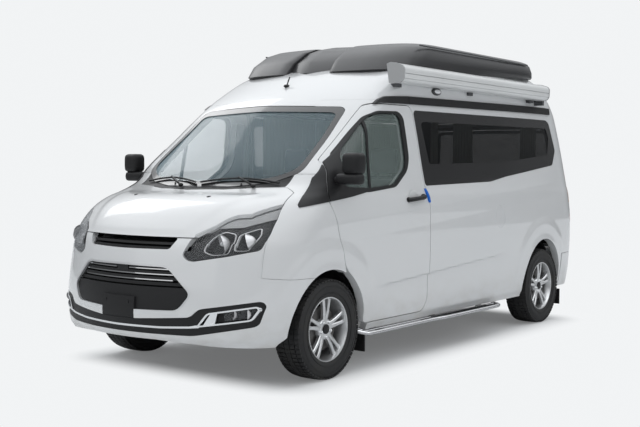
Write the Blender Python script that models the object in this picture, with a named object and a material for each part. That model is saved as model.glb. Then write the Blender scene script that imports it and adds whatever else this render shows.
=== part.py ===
"""Mid-size camper van with a raised roof: body panels, glazing, doors, running gear and cab.

Metres, +Z up. The van faces -Y and its left side is +X. Stations along the van are
counted from the front axle, heights from the ground; finish() puts them in the world,
whose origin is on the ground under the middle of the van.
"""
import math

import bmesh
import bpy
from mathutils import Matrix, Vector

# ---- driving sizes ------------------------------------------------------------
WHEELBASE = 3.30
FRONT_OVERHANG = 1.025
REAR_OVERHANG = 0.985
FRONT_AXLE_Y = -(FRONT_OVERHANG + WHEELBASE + REAR_OVERHANG) / 2 + FRONT_OVERHANG

TYRE_RADIUS = 0.343
TYRE_WIDTH = 0.215
RIM_RADIUS = 0.222
RIM_HALF = 0.095
WHEEL_STEPS = 24
WHEEL_X = 0.860
KINGPIN_X = 0.775
HUB_DEPTH = 0.035      # inboard of the wheel's middle
AXLE_END = WHEEL_X - HUB_DEPTH - 0.001

SIDE_WALL = 0.060
ROOF_WALL = 0.040
BONNET_WALL = 0.035
BONNET_SKIN = 0.012
BUMPER_WALL = 0.045
GLASS = 0.012
LAMP_DEPTH = 0.120

FIT = 0.0004          # between panels that stay together
DOOR_GAP = 0.0065     # round everything that opens

# ---- round the wheels ---------------------------------------------------------
ARCH_RADIUS = TYRE_RADIUS + 0.067
ARCH_SHIFT = -0.035   # the front opening sits a little ahead of its wheel
ARCH_STEPS = 11
REAR_LIFT = 0.030     # the rear opening sits a little above its wheel
FRONT_HOUSING = ARCH_RADIUS + 0.040
REAR_HOUSING = ARCH_RADIUS + 0.030
HOUSING_WALL = 0.020
HOUSING_STEPS = 8
HOUSING_X = 0.846     # the underbody ends inside the side skin
HOUSING_TOP = TYRE_RADIUS + FRONT_HOUSING + 0.007

# ---- heights and stations -----------------------------------------------------
FLOOR_Z = TYRE_RADIUS + 0.157
FLOOR_DEPTH = 0.040
RAIL_Z = FLOOR_Z - 0.095         # underside of the chassis rails
RAIL_X = 0.475
SILL_Z = 0.340
PILLAR_Z = 1.388         # foot of the windscreen pillar, on the wing
GUTTER_Z = 1.930         # the steel side ends and the raised roof begins
HEADER_Z = 1.800         # underside of the headers over the screens
DOOR_INNER_X = 0.786     # the door frame stops here beside the windscreen pillar
SIDE_INNER_X = 0.450     # the body sides end here, below the roof's middle
BONNET_LOW_Z = 0.985
BONNET_HINGE_Y = -0.150
BONNET_HINGE_Z = 1.325
GATE_HINGE_Y = WHEELBASE + 0.795
GATE_HINGE_Z = 1.915
DOOR_HINGE_X = 0.962
DOOR_HINGE_Y = -0.035
DOOR_HINGE_Z = 0.800
STEERING_CENTRE = (0.42, 0.66, 1.20)
STEERING_RADIUS = 0.185
STEERING_TILT = 30

STEP_START = 0.42
STEP_LENGTH = 2.02
STEP_X = 0.985
STEP_BOW = 0.019         # the step's outer tube bends out over its rear half
STEP_Z = 0.262
AWNING_START = 0.87
AWNING_LENGTH = 2.50
POD_START = 0.948
POD_END = 3.442

# ---- body form ----------------------------------------------------------------
# One row for each height of the body. Columns: height, nose (ahead of the front
# axle), half width, width and length of the front corner, tail (behind the rear axle).
BODY_ROWS = [
    (0.22, 0.960, 0.930, 0.22, 0.32, 0.88),
    (0.32, 1.020, 0.953, 0.22, 0.32, 0.91),
    (0.50, 1.025, 0.977, 0.22, 0.32, 0.92),
    (0.80, 0.985, 0.992, 0.22, 0.34, 0.92),
    (0.93, 0.955, 0.992, 0.22, 0.36, 0.92),
    (1.00, 0.915, 0.989, 0.24, 0.38, 0.92),
    (1.08, 0.842, 0.984, 0.26, 0.40, 0.91),
    (1.16, 0.735, 0.975, 0.28, 0.42, 0.91),
    (1.22, 0.590, 0.967, 0.27, 0.41, 0.90),
    (1.265, 0.400, 0.957, 0.22, 0.34, 0.89),
    (1.31, 0.270, 0.948, 0.16, 0.22, 0.89),
    (1.42, 0.150, 0.930, 0.12, 0.15, 0.88),
    (1.66, -0.160, 0.897, 0.12, 0.15, 0.84),
    (1.925, -0.500, 0.858, 0.13, 0.16, 0.78),
    (2.05, -0.705, 0.845, 0.14, 0.18, 0.69),
    (2.16, -0.920, 0.820, 0.14, 0.18, 0.58),
    (2.23, -1.120, 0.790, 0.14, 0.18, 0.49),
    (2.27, -1.300, 0.760, 0.14, 0.18, 0.42),
]
FOLD_Z = 0.95             # above this height an inner skin is lowered as well
BOW = 0.27                # how much the nose runs back towards its sides
TAIL_CORNER = (0.24, 0.34)
TAIL_BOW = 0.07
TAIL_TAPER = 0.045
TAPER_START = WHEELBASE - 0.7

MATERIALS = {
    "white_paint": ((0.86, 0.87, 0.88, 1), 0.25, 0.0),
    "black_gloss": ((0.012, 0.012, 0.014, 1), 0.12, 0.0),
    "black_plastic": ((0.025, 0.025, 0.027, 1), 0.55, 0.0),
    "glass": ((0.05, 0.06, 0.065, 1), 0.05, 0.0),
    "lamp": ((0.55, 0.57, 0.6, 1), 0.1, 0.4),
    "red_lamp": ((0.35, 0.02, 0.02, 1), 0.15, 0.0),
    "rubber": ((0.02, 0.02, 0.02, 1), 0.8, 0.0),
    "alloy": ((0.68, 0.69, 0.70, 1), 0.3, 0.9),
    "steel": ((0.2, 0.2, 0.21, 1), 0.5, 0.8),
    "stainless": ((0.7, 0.7, 0.71, 1), 0.25, 1.0),
    "awning_white": ((0.82, 0.83, 0.84, 1), 0.4, 0.0),
    "trim_grey": ((0.10, 0.10, 0.11, 1), 0.7, 0.0),
    "seat_cloth": ((0.13, 0.13, 0.14, 1), 0.9, 0.0),
    "curtain_cloth": ((0.78, 0.76, 0.70, 1), 0.9, 0.0),
}


# ---- tools --------------------------------------------------------------------
def material(name):
    """A Principled material by its name in the table."""
    found = bpy.data.materials.get(name)
    if found:
        return found
    colour, rough, metal = MATERIALS[name]
    mat = bpy.data.materials.new(name)
    mat.use_nodes = True
    mat.diffuse_color = colour
    shader = mat.node_tree.nodes["Principled BSDF"]
    shader.inputs["Base Color"].default_value = colour
    shader.inputs["Roughness"].default_value = rough
    shader.inputs["Metallic"].default_value = metal
    return mat


def solid(name, verts, faces):
    """A closed mesh object whose faces point out."""
    mesh = bpy.data.meshes.new(name)
    mesh.from_pydata([tuple(v) for v in verts], [], faces)
    bm = bmesh.new()
    bm.from_mesh(mesh)
    bmesh.ops.recalc_face_normals(bm, faces=bm.faces)
    bm.to_mesh(mesh)
    bm.free()
    obj = bpy.data.objects.new(name, mesh)
    bpy.context.scene.collection.objects.link(obj)
    return obj


def loft(name, rings):
    """Skin between rings of equal length, with flat ends."""
    count = len(rings[0])
    verts = [point for ring in rings for point in ring]
    faces = [tuple(range(count))[::-1]]
    faces.append(tuple((len(rings) - 1) * count + i for i in range(count)))
    for level in range(len(rings) - 1):
        low, high = level * count, (level + 1) * count
        for i in range(count):
            j = (i + 1) % count
            faces.append((low + i, low + j, high + j))
            faces.append((low + i, high + j, high + i))
    return solid(name, verts, faces)


def turned(axis, a, b, depth):
    """A point of an outline: (y, z) along x, (x, z) along y, (x, y) along z."""
    if axis == "x":
        return (depth, a, b)
    if axis == "y":
        return (a, depth, b)
    return (a, b, depth)


def prism(axis, outline, low, high, name="prism"):
    """An outline pushed along an axis from low to high."""
    rings = [[turned(axis, a, b, depth) for a, b in outline] for depth in (low, high)]
    return loft(name, rings)


def box(x0, x1, y0, y1, z0, z1, name="box"):
    return prism("z", [(x0, y0), (x1, y0), (x1, y1), (x0, y1)], z0, z1, name)


def arc(cx, cy, radius, start, end, steps):
    """Points on an arc, angles in degrees."""
    points = []
    for i in range(steps + 1):
        a = math.radians(start + (end - start) * i / steps)
        points.append((cx + radius * math.cos(a), cy + radius * math.sin(a)))
    return points


def grow(outline, distance):
    """The outline moved out by a distance, with its corners mitred."""
    area = sum(x0 * y1 - x1 * y0
               for (x0, y0), (x1, y1) in zip(outline, outline[1:] + outline[:1]))
    turn = 1 if area > 0 else -1
    result = []
    for i, point in enumerate(outline):
        here = Vector(point)
        before = (here - Vector(outline[i - 1])).normalized()
        after = (Vector(outline[(i + 1) % len(outline)]) - here).normalized()
        n0 = Vector((before.y, -before.x)) * turn
        n1 = Vector((after.y, -after.x)) * turn
        spread = max(0.35, 1 + n0.dot(n1))
        result.append(tuple(here + (n0 + n1) * distance / spread))
    return result


def revolve(name, profile, steps):
    """A closed profile of (along, radius) points turned round the X axis."""
    verts = []
    for i in range(steps):
        a = 2 * math.pi * i / steps
        for along, radius in profile:
            verts.append((along, radius * math.cos(a), radius * math.sin(a)))
    count = len(profile)
    faces = []
    for i in range(steps):
        j = (i + 1) % steps
        for k in range(count):
            m = (k + 1) % count
            faces.append((i * count + k, i * count + m, j * count + m, j * count + k))
    return solid(name, verts, faces)


def tube(name, points, radius, steps=12):
    """A round bar along a line of points."""
    points = [Vector(point) for point in points]
    first = (points[1] - points[0]).normalized()
    side = first.orthogonal().normalized()
    rings = []
    for i, centre in enumerate(points):
        before = points[max(i - 1, 0)]
        after = points[min(i + 1, len(points) - 1)]
        along = (after - before).normalized()
        across = (side - along * side.dot(along)).normalized()
        up = along.cross(across)
        ring = []
        for k in range(steps):
            a = 2 * math.pi * k / steps
            ring.append(centre + radius * (math.cos(a) * across + math.sin(a) * up))
        rings.append(ring)
    return loft(name, rings)


def block(low, high, bevel):
    """A box with all its edges bevelled."""
    (x0, y0, z0), (x1, y1, z1) = low, high
    rings = []
    for y, inset in ((y0, bevel), (y0 + bevel, 0.0), (y1 - bevel, 0.0), (y1, bevel)):
        a0, a1, b0, b1 = x0 + inset, x1 - inset, z0 + inset, z1 - inset
        rings.append([(x, y, z) for x, z in (
            (a0 + bevel, b0), (a1 - bevel, b0), (a1, b0 + bevel), (a1, b1 - bevel),
            (a1 - bevel, b1), (a0 + bevel, b1), (a0, b1 - bevel), (a0, b0 + bevel))])
    return loft("block", rings)


def flip(obj):
    """Turn a left piece into a right one."""
    obj.data.transform(Matrix.Scale(-1, 4, (1, 0, 0)))
    obj.data.flip_normals()


def moved(obj, matrix):
    obj.data.transform(matrix)
    return obj


def boolean(obj, other, kind):
    """Apply one exact boolean and drop the tool."""
    mod = obj.modifiers.new("cut", "BOOLEAN")
    mod.operation = kind
    mod.solver = "EXACT"
    mod.object = other
    graph = bpy.context.evaluated_depsgraph_get()
    mesh = bpy.data.meshes.new_from_object(obj.evaluated_get(graph))
    obj.modifiers.clear()
    old = obj.data
    obj.data = mesh
    bpy.data.meshes.remove(old)
    bpy.data.objects.remove(other)
    return obj


def common(obj, other):
    return boolean(obj, other, "INTERSECT")


def cut(obj, *others):
    for other in others:
        boolean(obj, other, "DIFFERENCE")
    return obj


def join(obj, *others):
    for other in others:
        boolean(obj, other, "UNION")
    return obj


def tidy(obj):
    """Drop the slivers that booleans leave and the edges that lie inside flat faces."""
    bm = bmesh.new()
    bm.from_mesh(obj.data)
    bmesh.ops.remove_doubles(bm, verts=bm.verts, dist=0.00005)
    bmesh.ops.dissolve_degenerate(bm, edges=bm.edges, dist=0.00002)
    bm.to_mesh(obj.data)
    bmesh.ops.dissolve_limit(bm, angle_limit=math.radians(0.4), verts=bm.verts,
                             edges=bm.edges)
    bmesh.ops.triangulate(bm, faces=bm.faces)
    if all(edge.is_manifold for edge in bm.edges):
        bm.to_mesh(obj.data)
    bm.free()


def finish(obj, name, colour, origin=(0, 0, 0), smooth=None):
    """Name and paint a piece and put its origin, measured from the front axle, in place."""
    tidy(obj)
    obj.name = name
    obj.data.name = name
    obj.data.materials.clear()
    obj.data.materials.append(material(colour))
    obj.data.transform(Matrix.Translation(-Vector(origin)))
    obj.location = Vector(origin) + Vector((0, FRONT_AXLE_Y, 0))
    if smooth:
        obj.data.shade_smooth()
        obj.data.set_sharp_from_angle(angle=math.radians(smooth))
    return obj


def mirrored(outline):
    """The other side's outline, in the same turning direction."""
    return [(-a, b) for a, b in reversed(outline)]


def both(half, distance=0.0):
    """A half outline from the middle out, closed by its mirror image and grown."""
    outline = half + [(-a, b) for a, b in reversed(half) if abs(a) > 1e-9]
    return grow(outline, distance) if distance else outline


# ---- the body's skin ----------------------------------------------------------
def bend(start, corner, end, steps):
    """A quadratic curve from start to end that leaves both towards the corner."""
    points = []
    for i in range(steps + 1):
        t = i / steps
        points.append(tuple((1 - t) ** 2 * a + 2 * t * (1 - t) * b + t * t * c
                            for a, b, c in zip(start, corner, end)))
    return points


def ring(row, wall):
    """The body's outline at one height, moved in by a wall."""
    z, nose, half, corner_x, corner_y, tail = row
    front = -nose + wall
    half = half - wall
    back = WHEELBASE + tail - wall
    rear_half = half - TAIL_TAPER
    inner_x = half - corner_x
    points = [(x, front + BOW * x * x) for x in (0.0, inner_x / 2)]
    edge = front + BOW * half * half
    points += bend((inner_x, front + BOW * inner_x ** 2), (half, edge),
                   (half, edge + corner_y), 4)
    points.append((half, TAPER_START))
    tail_x, tail_y = TAIL_CORNER
    corner = back - TAIL_BOW * rear_half ** 2
    points += bend((rear_half, corner - tail_y), (rear_half, corner),
                   (rear_half - tail_x, back - TAIL_BOW * (rear_half - tail_x) ** 2), 4)
    points.append((0.0, back))
    return [(x, y, z) for x, y in points] + [(-x, y, z) for x, y in points[-2:0:-1]]


def hull(wall=0.0):
    """The whole body as one solid, or its hollow when a wall is given."""
    rows = []
    for row in BODY_ROWS:
        drop = wall if row[0] > FOLD_Z else 0.0
        rows.append((row[0] - drop,) + row[1:])
    if wall:
        rows[0] = (rows[0][0] - 0.1,) + rows[0][1:]
    return loft("hull", [ring(row, wall) for row in rows])


def skin(wall, area, *openings, outer=0.0):
    """The part of the body's skin inside an area, less its openings."""
    panel = common(hull(outer), area)
    cut(panel, hull(wall), *openings)
    return panel


WIDE = 1.3                # past the body's sides
NOSE_FAR = -1.3           # ahead of the nose
TAIL_FAR = 5.0            # behind the tail
BULKHEAD_Y = 0.10
ROOF_MIDDLE = WHEELBASE / 2 + 0.35
SIDES = {"left": 1, "right": -1}


def side_area(side, outline, inboard=0.0):
    """A (y, z) outline pushed through one side of the body."""
    if side == "left":
        return prism("x", outline, inboard, WIDE)
    return prism("x", outline, -WIDE, -inboard)


def front_area(side, outline, near, far):
    """An (x, z) outline of the left side, mirrored for the right, pushed along the van."""
    shape = outline if side == "left" else mirrored(outline)
    return prism("y", shape, near, far)


# ---- outlines -----------------------------------------------------------------
# Side views are (y, z), front views (x, z), plan views (x, y).
DOOR_OUTLINE = [
    (0.385, SILL_Z), (0.375, 0.45), (0.325, 0.56), (0.235, 0.665), (0.131, 0.745),
    (0.110, 0.86), (0.056, 1.01), (0.030, 1.12), (-0.015, 1.205), (0.045, 1.39),
    (0.060, 1.475), (0.310, 1.700), (0.520, 1.850), (0.640, 1.895), (1.120, 1.900),
    (1.165, 1.860), (1.215, 1.320), (1.250, 1.180), (1.240, 0.420), (1.185, SILL_Z)]
DOOR_WINDOW = [
    (0.155, 1.420), (0.210, 1.330), (0.300, 1.290), (0.850, 1.296), (0.960, 1.330),
    (1.035, 1.460), (1.045, 1.700), (1.010, 1.840), (0.660, 1.840), (0.480, 1.745)]
SLIDING_DOOR = [
    (1.260, SILL_Z), (1.260, 1.180), (1.225, 1.320), (1.176, 1.860), (1.176, 1.900),
    (2.280, 1.900), (2.280, 1.290), (2.320, 1.180), (2.320, 0.420), (2.280, SILL_Z)]
SLIDING_WINDOW = [
    (1.330, 1.320), (1.250, 1.840), (1.280, 1.865), (2.210, 1.875), (2.210, 1.330)]
LEFT_WINDOW = [
    (1.310, 1.300), (1.225, 1.850), (1.250, 1.872), (3.640, 1.892), (3.700, 1.860),
    (3.770, 1.600), (3.660, 1.463), (2.600, 1.360), (2.300, 1.318)]
RIGHT_WINDOW = [
    (2.380, 1.325), (2.380, 1.880), (3.640, 1.892), (3.700, 1.860), (3.770, 1.600),
    (3.660, 1.463), (2.600, 1.360)]
SIDE_OUTLINE = [
    (0.460, 0.285), (0.460, 0.400), (0.450, PILLAR_Z), (-0.200, PILLAR_Z),
    (-0.200, GUTTER_Z - FIT), (4.40, GUTTER_Z - FIT), (4.40, 0.62), (3.74, 0.62),
    (3.74, 0.300), (3.30, 0.300), (2.88, 0.285)]
WING_OUTLINE = [
    (-0.90, 0.705), (-0.27, 0.690), (-0.10, 0.50), (0.125, 0.62), (0.125, 0.745),
    (0.104, 0.86), (0.050, 1.01), (0.024, 1.12), (-0.022, 1.205),
    (0.038, PILLAR_Z - FIT), (-0.90, PILLAR_Z - FIT)]

HEADLAMP = [
    (0.480, 0.872), (0.543, 0.840), (0.910, 0.914), (0.925, 1.050), (0.885, 1.195),
    (0.709, 1.190), (0.560, 1.120), (0.505, 0.978)]
WINDSCREEN_HALF = [
    (0.0, 1.290), (0.30, 1.295), (0.58, 1.325), (0.745, 1.400), (0.735, 1.620),
    (0.705, 1.850), (0.66, 1.875), (0.0, 1.895)]
BONNET_HALF = [
    (0.0, -1.10), (0.525, -1.10), (0.530, -0.830), (0.590, -0.745), (0.715, -0.622),
    (0.868, -0.378), (0.810, -0.205), (0.725, -0.165), (0.58, -0.222), (0.30, -0.330),
    (0.0, -0.375)]
BUMPER_HALF = [
    (0.0, 0.20), (1.10, 0.20), (1.10, 0.690), (0.895, 0.735), (0.893, 0.99),
    (0.0, 0.99)]
UPPER_GRILLE_HALF = [(0.0, 0.908), (0.380, 0.915), (0.425, 0.978), (0.0, 0.978)]
LOWER_GRILLE_HALF = [
    (0.0, 0.515), (0.485, 0.525), (0.560, 0.640), (0.370, 0.809), (0.0, 0.812)]
BAND_HALF = [
    (0.0, 0.385), (0.570, 0.378), (0.900, 0.430), (0.945, 0.560), (0.925, 0.605),
    (0.640, 0.550), (0.560, 0.470), (0.155, 0.455), (0.0, 0.455)]
TAILGATE_HALF = [
    (0.0, 0.640), (0.800, 0.640), (0.810, 1.200), (0.765, 1.600),
    (0.700, GATE_HINGE_Z - 0.025), (0.0, GATE_HINGE_Z - 0.010)]
TAIL_WINDOW_HALF = [
    (0.0, 1.310), (0.640, 1.310), (0.690, 1.360), (0.640, 1.790), (0.600, 1.820),
    (0.0, 1.830)]
TAIL_LAMP = [(3.985, 0.920), (3.985, 1.520), (4.40, 1.520), (4.40, 0.920)]
COWL_HALF = [
    (0.0, -0.365), (0.30, -0.320), (0.58, -0.213), (0.70, -0.16), (0.70, 0.12),
    (0.0, 0.12)]
PLATE_HALF = [(0.0, 0.4560), (0.150, 0.4560), (0.150, 0.600), (0.0, 0.600)]
PLATE_GAP = 0.0015
GRILLE_BACK_HALF = [
    (0.0, 0.50), (0.60, 0.50), (0.60, 0.80), (0.47, 0.84), (0.47, 0.975), (0.0, 0.975)]
FOG_RECESS = [(0.645, 0.445), (0.900, 0.475), (0.928, 0.568), (0.700, 0.530)]
FOG_LAMP = [(0.785, 0.478), (0.905, 0.494), (0.918, 0.552), (0.800, 0.538)]
REAR_PLATE_HALF = [(0.0, 0.860), (0.270, 0.860), (0.270, 1.000), (0.0, 1.000)]
GUTTER_RAIL = [
    (0.690, GUTTER_Z + 0.002), (3.720, GUTTER_Z + 0.014), (3.720, GUTTER_Z + 0.078),
    (0.780, GUTTER_Z + 0.030)]
AWNING_SECTION = [
    (0.800, 2.062), (0.925, 2.060), (0.962, 2.072), (0.976, 2.098), (0.979, 2.135),
    (0.976, 2.165), (0.962, 2.185), (0.905, 2.207), (0.800, 2.205)]
POD_HALF = [
    (0.0, 0.0), (0.45, 0.006), (0.64, 0.021), (0.76, 0.069), (0.80, 0.149), (0.80, 0.895),
    (0.72, 0.998), (0.0, 1.0)]
# Levels of the pod. Columns: height, width share, start and end of the plan, droop of the nose.
POD_LEVELS = [
    (2.272, 0.990, 0.010, 0.997, 0.105),
    (2.285, 1.000, 0.000, 1.000, 0.105),
    (2.330, 0.998, 0.029, 0.999, 0.055),
    (2.385, 0.975, 0.093, 0.993, 0.010),
    (2.413, 0.945, 0.140, 0.984, 0.0),
    (2.425, 0.885, 0.185, 0.968, 0.0),
]
# Bars of the grille. Columns: height, half thickness, how deep its front edge lies.
LOWER_BARS = [(0.777, 0.009, 0.020), (0.740, 0.009, 0.020), (0.703, 0.009, 0.020)]
UPPER_BARS = [(0.941, 0.008, 0.025), (0.913, 0.008, 0.012)]
SKIRT_Z = 0.668          # below this the lower grille is closed
# Spring hangers, cross members and other stations along the van.
SPRING_FRONT = WHEELBASE - 0.60
SPRING_REAR = WHEELBASE + 0.45
FLOOR_FRONT = FRONT_HOUSING + 0.010
FLOOR_REAR = WHEELBASE + 0.72
RAILS_FRONT = -0.80
SHELF_FRONT = 4.0
FLOOR_X = HOUSING_X - 0.006
SEAT_Y = 0.74            # front edge of the front seats' cushions
SEAT_X = 0.45
SEAT_HALF = 0.23
BENCH_Y = WHEELBASE - 0.78
BENCH_HALF = 0.60
DASH_HALF = 0.84
# Side views of the seats. Columns: behind the cushion's front edge, above the floor.
SEAT_PROFILE = [
    (0.04, 0.0), (0.0, 0.34), (0.48, 0.32), (0.62, 0.86), (0.72, 0.87), (0.60, 0.28),
    (0.56, 0.0)]
HEADREST_LOW = (-0.135, 0.615, 0.83)
HEADREST_HIGH = (0.135, 0.715, 1.11)
BENCH_PROFILE = [
    (0.03, 0.0), (0.0, 0.40), (0.46, 0.38), (0.54, 0.90), (0.64, 0.90), (0.58, 0.0)]
# The dashboard's top and rear face, in the side view.
DASH_FRONT_Z = 1.18
DASH_PROFILE = [(0.26, 1.215), (0.44, 1.16), (0.50, 1.02), (0.42, HOUSING_TOP)]
CURTAIN_X = 0.750
CURTAIN_START = 1.30
CURTAIN_END = WHEELBASE + 0.30
CURTAINS = [(1.62, 0.12), (1.98, 0.34), (WHEELBASE - 0.08, 0.34)]     # start, width
POD_HOLLOW_X = 0.70
POD_HOLLOW_Z = 2.39


def front_arch():
    """The front wheel opening's outline: round above, its front foot further forward."""
    outline = arc(ARCH_SHIFT, TYRE_RADIUS, ARCH_RADIUS, 0, 180, ARCH_STEPS)
    front, back = ARCH_SHIFT - ARCH_RADIUS - 0.17, ARCH_SHIFT + ARCH_RADIUS - 0.02
    return outline + [(front, 0.18), (back, 0.18)]


def rear_arch():
    """The rear wheel opening's outline."""
    outline = arc(WHEELBASE, TYRE_RADIUS + REAR_LIFT, ARCH_RADIUS, 0, 180, ARCH_STEPS)
    return outline + [(WHEELBASE - ARCH_RADIUS, 0.18), (WHEELBASE + ARCH_RADIUS, 0.18)]


def across(half, near, far, distance=0.0):
    """A half outline in the front view, pushed along the van through both sides."""
    return prism("y", both(half, distance), near, far)


def screen_opening(distance=0.0):
    return across(WINDSCREEN_HALF, NOSE_FAR, 0.9, distance)


def gate_opening():
    return across(TAILGATE_HALF, WHEELBASE + 0.4, TAIL_FAR, DOOR_GAP)


def bonnet_opening(low=0.9):
    return prism("z", both(BONNET_HALF, DOOR_GAP), low, 1.36)


# ---- pressed body -------------------------------------------------------------
def body_sides():
    for side in SIDES:
        openings = [
            side_area(side, grow(DOOR_OUTLINE, DOOR_GAP), DOOR_INNER_X - DOOR_GAP),
            side_area(side, rear_arch()), screen_opening(), gate_opening(),
            side_area(side, grow(TAIL_LAMP, FIT), 0.7), bonnet_opening()]
        if side == "left":
            openings.append(side_area(side, LEFT_WINDOW))
        else:
            openings.append(side_area(side, grow(SLIDING_DOOR, FIT)))
            openings.append(side_area(side, RIGHT_WINDOW))
        panel = skin(SIDE_WALL, side_area(side, SIDE_OUTLINE, SIDE_INNER_X), *openings)
        finish(panel, f"body_side_{side}", "white_paint", smooth=35)


def wings():
    for side in SIDES:
        openings = [
            side_area(side, front_arch()), across(BUMPER_HALF, NOSE_FAR, 0.1, FIT),
            front_area(side, grow(HEADLAMP, FIT), NOSE_FAR, -0.30), bonnet_opening(),
            prism("z", both(COWL_HALF), 1.0, 1.50), screen_opening()]
        panel = skin(SIDE_WALL, side_area(side, WING_OUTLINE, SIDE_INNER_X), *openings)
        finish(panel, f"front_wing_{side}", "white_paint", smooth=35)


def lamps():
    for side in SIDES:
        lamp = skin(LAMP_DEPTH, front_area(side, HEADLAMP, NOSE_FAR, -0.31), bonnet_opening())
        finish(lamp, f"headlamp_{side}", "lamp", smooth=35)
        tail = skin(SIDE_WALL, side_area(side, TAIL_LAMP, 0.815 + DOOR_GAP))
        finish(tail, f"tail_lamp_{side}", "red_lamp", smooth=35)


def roof():
    """The raised roof, its headers over the screens, and the rails along its feet."""
    panel = skin(ROOF_WALL, box(-WIDE, WIDE, 0.3, 5.0, GUTTER_Z, 2.6))
    inner = SIDE_INNER_X - FIT
    header = [(-inner, HEADER_Z), (inner, HEADER_Z), (inner, GUTTER_Z + 0.010),
              (-inner, GUTTER_Z + 0.010)]
    front = skin(SIDE_WALL, prism("y", header, 0.3, ROOF_MIDDLE), screen_opening(FIT))
    back = skin(SIDE_WALL, prism("y", header, ROOF_MIDDLE, TAIL_FAR), gate_opening())
    join(panel, front, back)
    for side in SIDES:
        rail = skin(ROOF_WALL / 4, side_area(side, GUTTER_RAIL, 0.5), outer=-0.010)
        join(panel, rail)
    finish(panel, "high_roof", "white_paint", smooth=35)


def screens():
    screen = skin(GLASS, across(WINDSCREEN_HALF, -0.9, 0.9, -FIT))
    finish(screen, "windscreen", "glass", smooth=35)
    for side, outline in (("left", LEFT_WINDOW), ("right", RIGHT_WINDOW)):
        pane = skin(GLASS, side_area(side, grow(outline, -FIT), 0.5))
        finish(pane, f"side_glass_{side}", "glass", smooth=35)


def sliding_door():
    window = side_area("right", SLIDING_WINDOW)
    panel = skin(SIDE_WALL, side_area("right", SLIDING_DOOR, 0.5), window)
    finish(panel, "sliding_door", "white_paint", smooth=35)
    glass = skin(GLASS, side_area("right", grow(SLIDING_WINDOW, -FIT), 0.5))
    finish(glass, "sliding_door_glass", "glass", smooth=35)


def bumper():
    """The front bumper's cover, and the black band across it with its lamp recesses."""
    openings = [
        across(UPPER_GRILLE_HALF, NOSE_FAR, -0.6), across(LOWER_GRILLE_HALF, NOSE_FAR, -0.6),
        across(BAND_HALF, NOSE_FAR, -0.55), across(PLATE_HALF, NOSE_FAR, -0.6, PLATE_GAP),
        bonnet_opening(BONNET_LOW_Z - DOOR_GAP), prism("x", front_arch(), -WIDE, WIDE)]
    for side in SIDES:
        openings.append(front_area(side, grow(HEADLAMP, FIT), NOSE_FAR, -0.30))
    cover = skin(BUMPER_WALL, across(BUMPER_HALF, NOSE_FAR, 0.1), *openings)
    finish(cover, "front_bumper", "white_paint", smooth=35)

    band = skin(BUMPER_WALL, across(BAND_HALF, NOSE_FAR, -0.55, -FIT))
    for side in SIDES:
        cut(band, skin(0.025, front_area(side, FOG_RECESS, NOSE_FAR, -0.55), outer=-0.010))
        join(band, skin(0.030, front_area(side, FOG_LAMP, NOSE_FAR, -0.55), outer=0.008))
    finish(band, "bumper_band", "black_plastic", smooth=35)


def grille():
    """The dark net behind both openings, the bars, the ring and the plate's holder."""
    net = skin(0.10, across(GRILLE_BACK_HALF, NOSE_FAR, -0.5), outer=0.075)
    for opening, bars in ((LOWER_GRILLE_HALF, LOWER_BARS), (UPPER_GRILLE_HALF, UPPER_BARS)):
        for height, half_thick, depth in bars:
            bar = skin(0.080, across(opening, NOSE_FAR, -0.5, -0.004), outer=depth)
            common(bar, box(-1, 1, NOSE_FAR, -0.5, height - half_thick, height + half_thick))
            join(net, bar)
    join(net, box(-0.03, 0.03, -0.900, -0.80, 0.84, 0.965))
    skirt = skin(0.080, across(LOWER_GRILLE_HALF, NOSE_FAR, -0.5, -0.004), outer=0.016)
    common(skirt, box(-1, 1, NOSE_FAR, -0.5, 0.50, SKIRT_Z))
    ring = skin(0.030, across(LOWER_GRILLE_HALF, NOSE_FAR, -0.5, -FIT),
                across(LOWER_GRILLE_HALF, NOSE_FAR, -0.5, -0.012))
    plate = skin(0.030, across(PLATE_HALF, NOSE_FAR, -0.5), outer=0.001)
    join(net, skirt, ring, plate)
    finish(net, "grille", "black_plastic", smooth=35)


def bonnet():
    panel = skin(BONNET_SKIN, prism("z", both(BONNET_HALF), BONNET_LOW_Z, 1.5))
    frame = skin(BONNET_WALL, prism("z", both(BONNET_HALF, -0.03), BONNET_LOW_Z + 0.025, 1.5))
    join(panel, frame)
    hinge = (0, BONNET_HINGE_Y, BONNET_HINGE_Z)
    finish(panel, "bonnet", "white_paint", origin=hinge, smooth=35)


def cowl_and_bulkhead():
    cowl = skin(0.03, prism("z", both(COWL_HALF, -FIT), 1.10, 1.5), screen_opening(FIT))
    finish(cowl, "cowl_panel", "black_plastic", smooth=35)
    half = [(0.0, FLOOR_Z + FIT), (0.50, FLOOR_Z + FIT), (0.50, HOUSING_TOP),
            (0.91, HOUSING_TOP), (0.88, 1.22), (0.0, 1.22)]
    wall = across(half, BULKHEAD_Y, BULKHEAD_Y + 0.04)
    finish(wall, "bulkhead", "trim_grey")


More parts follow.
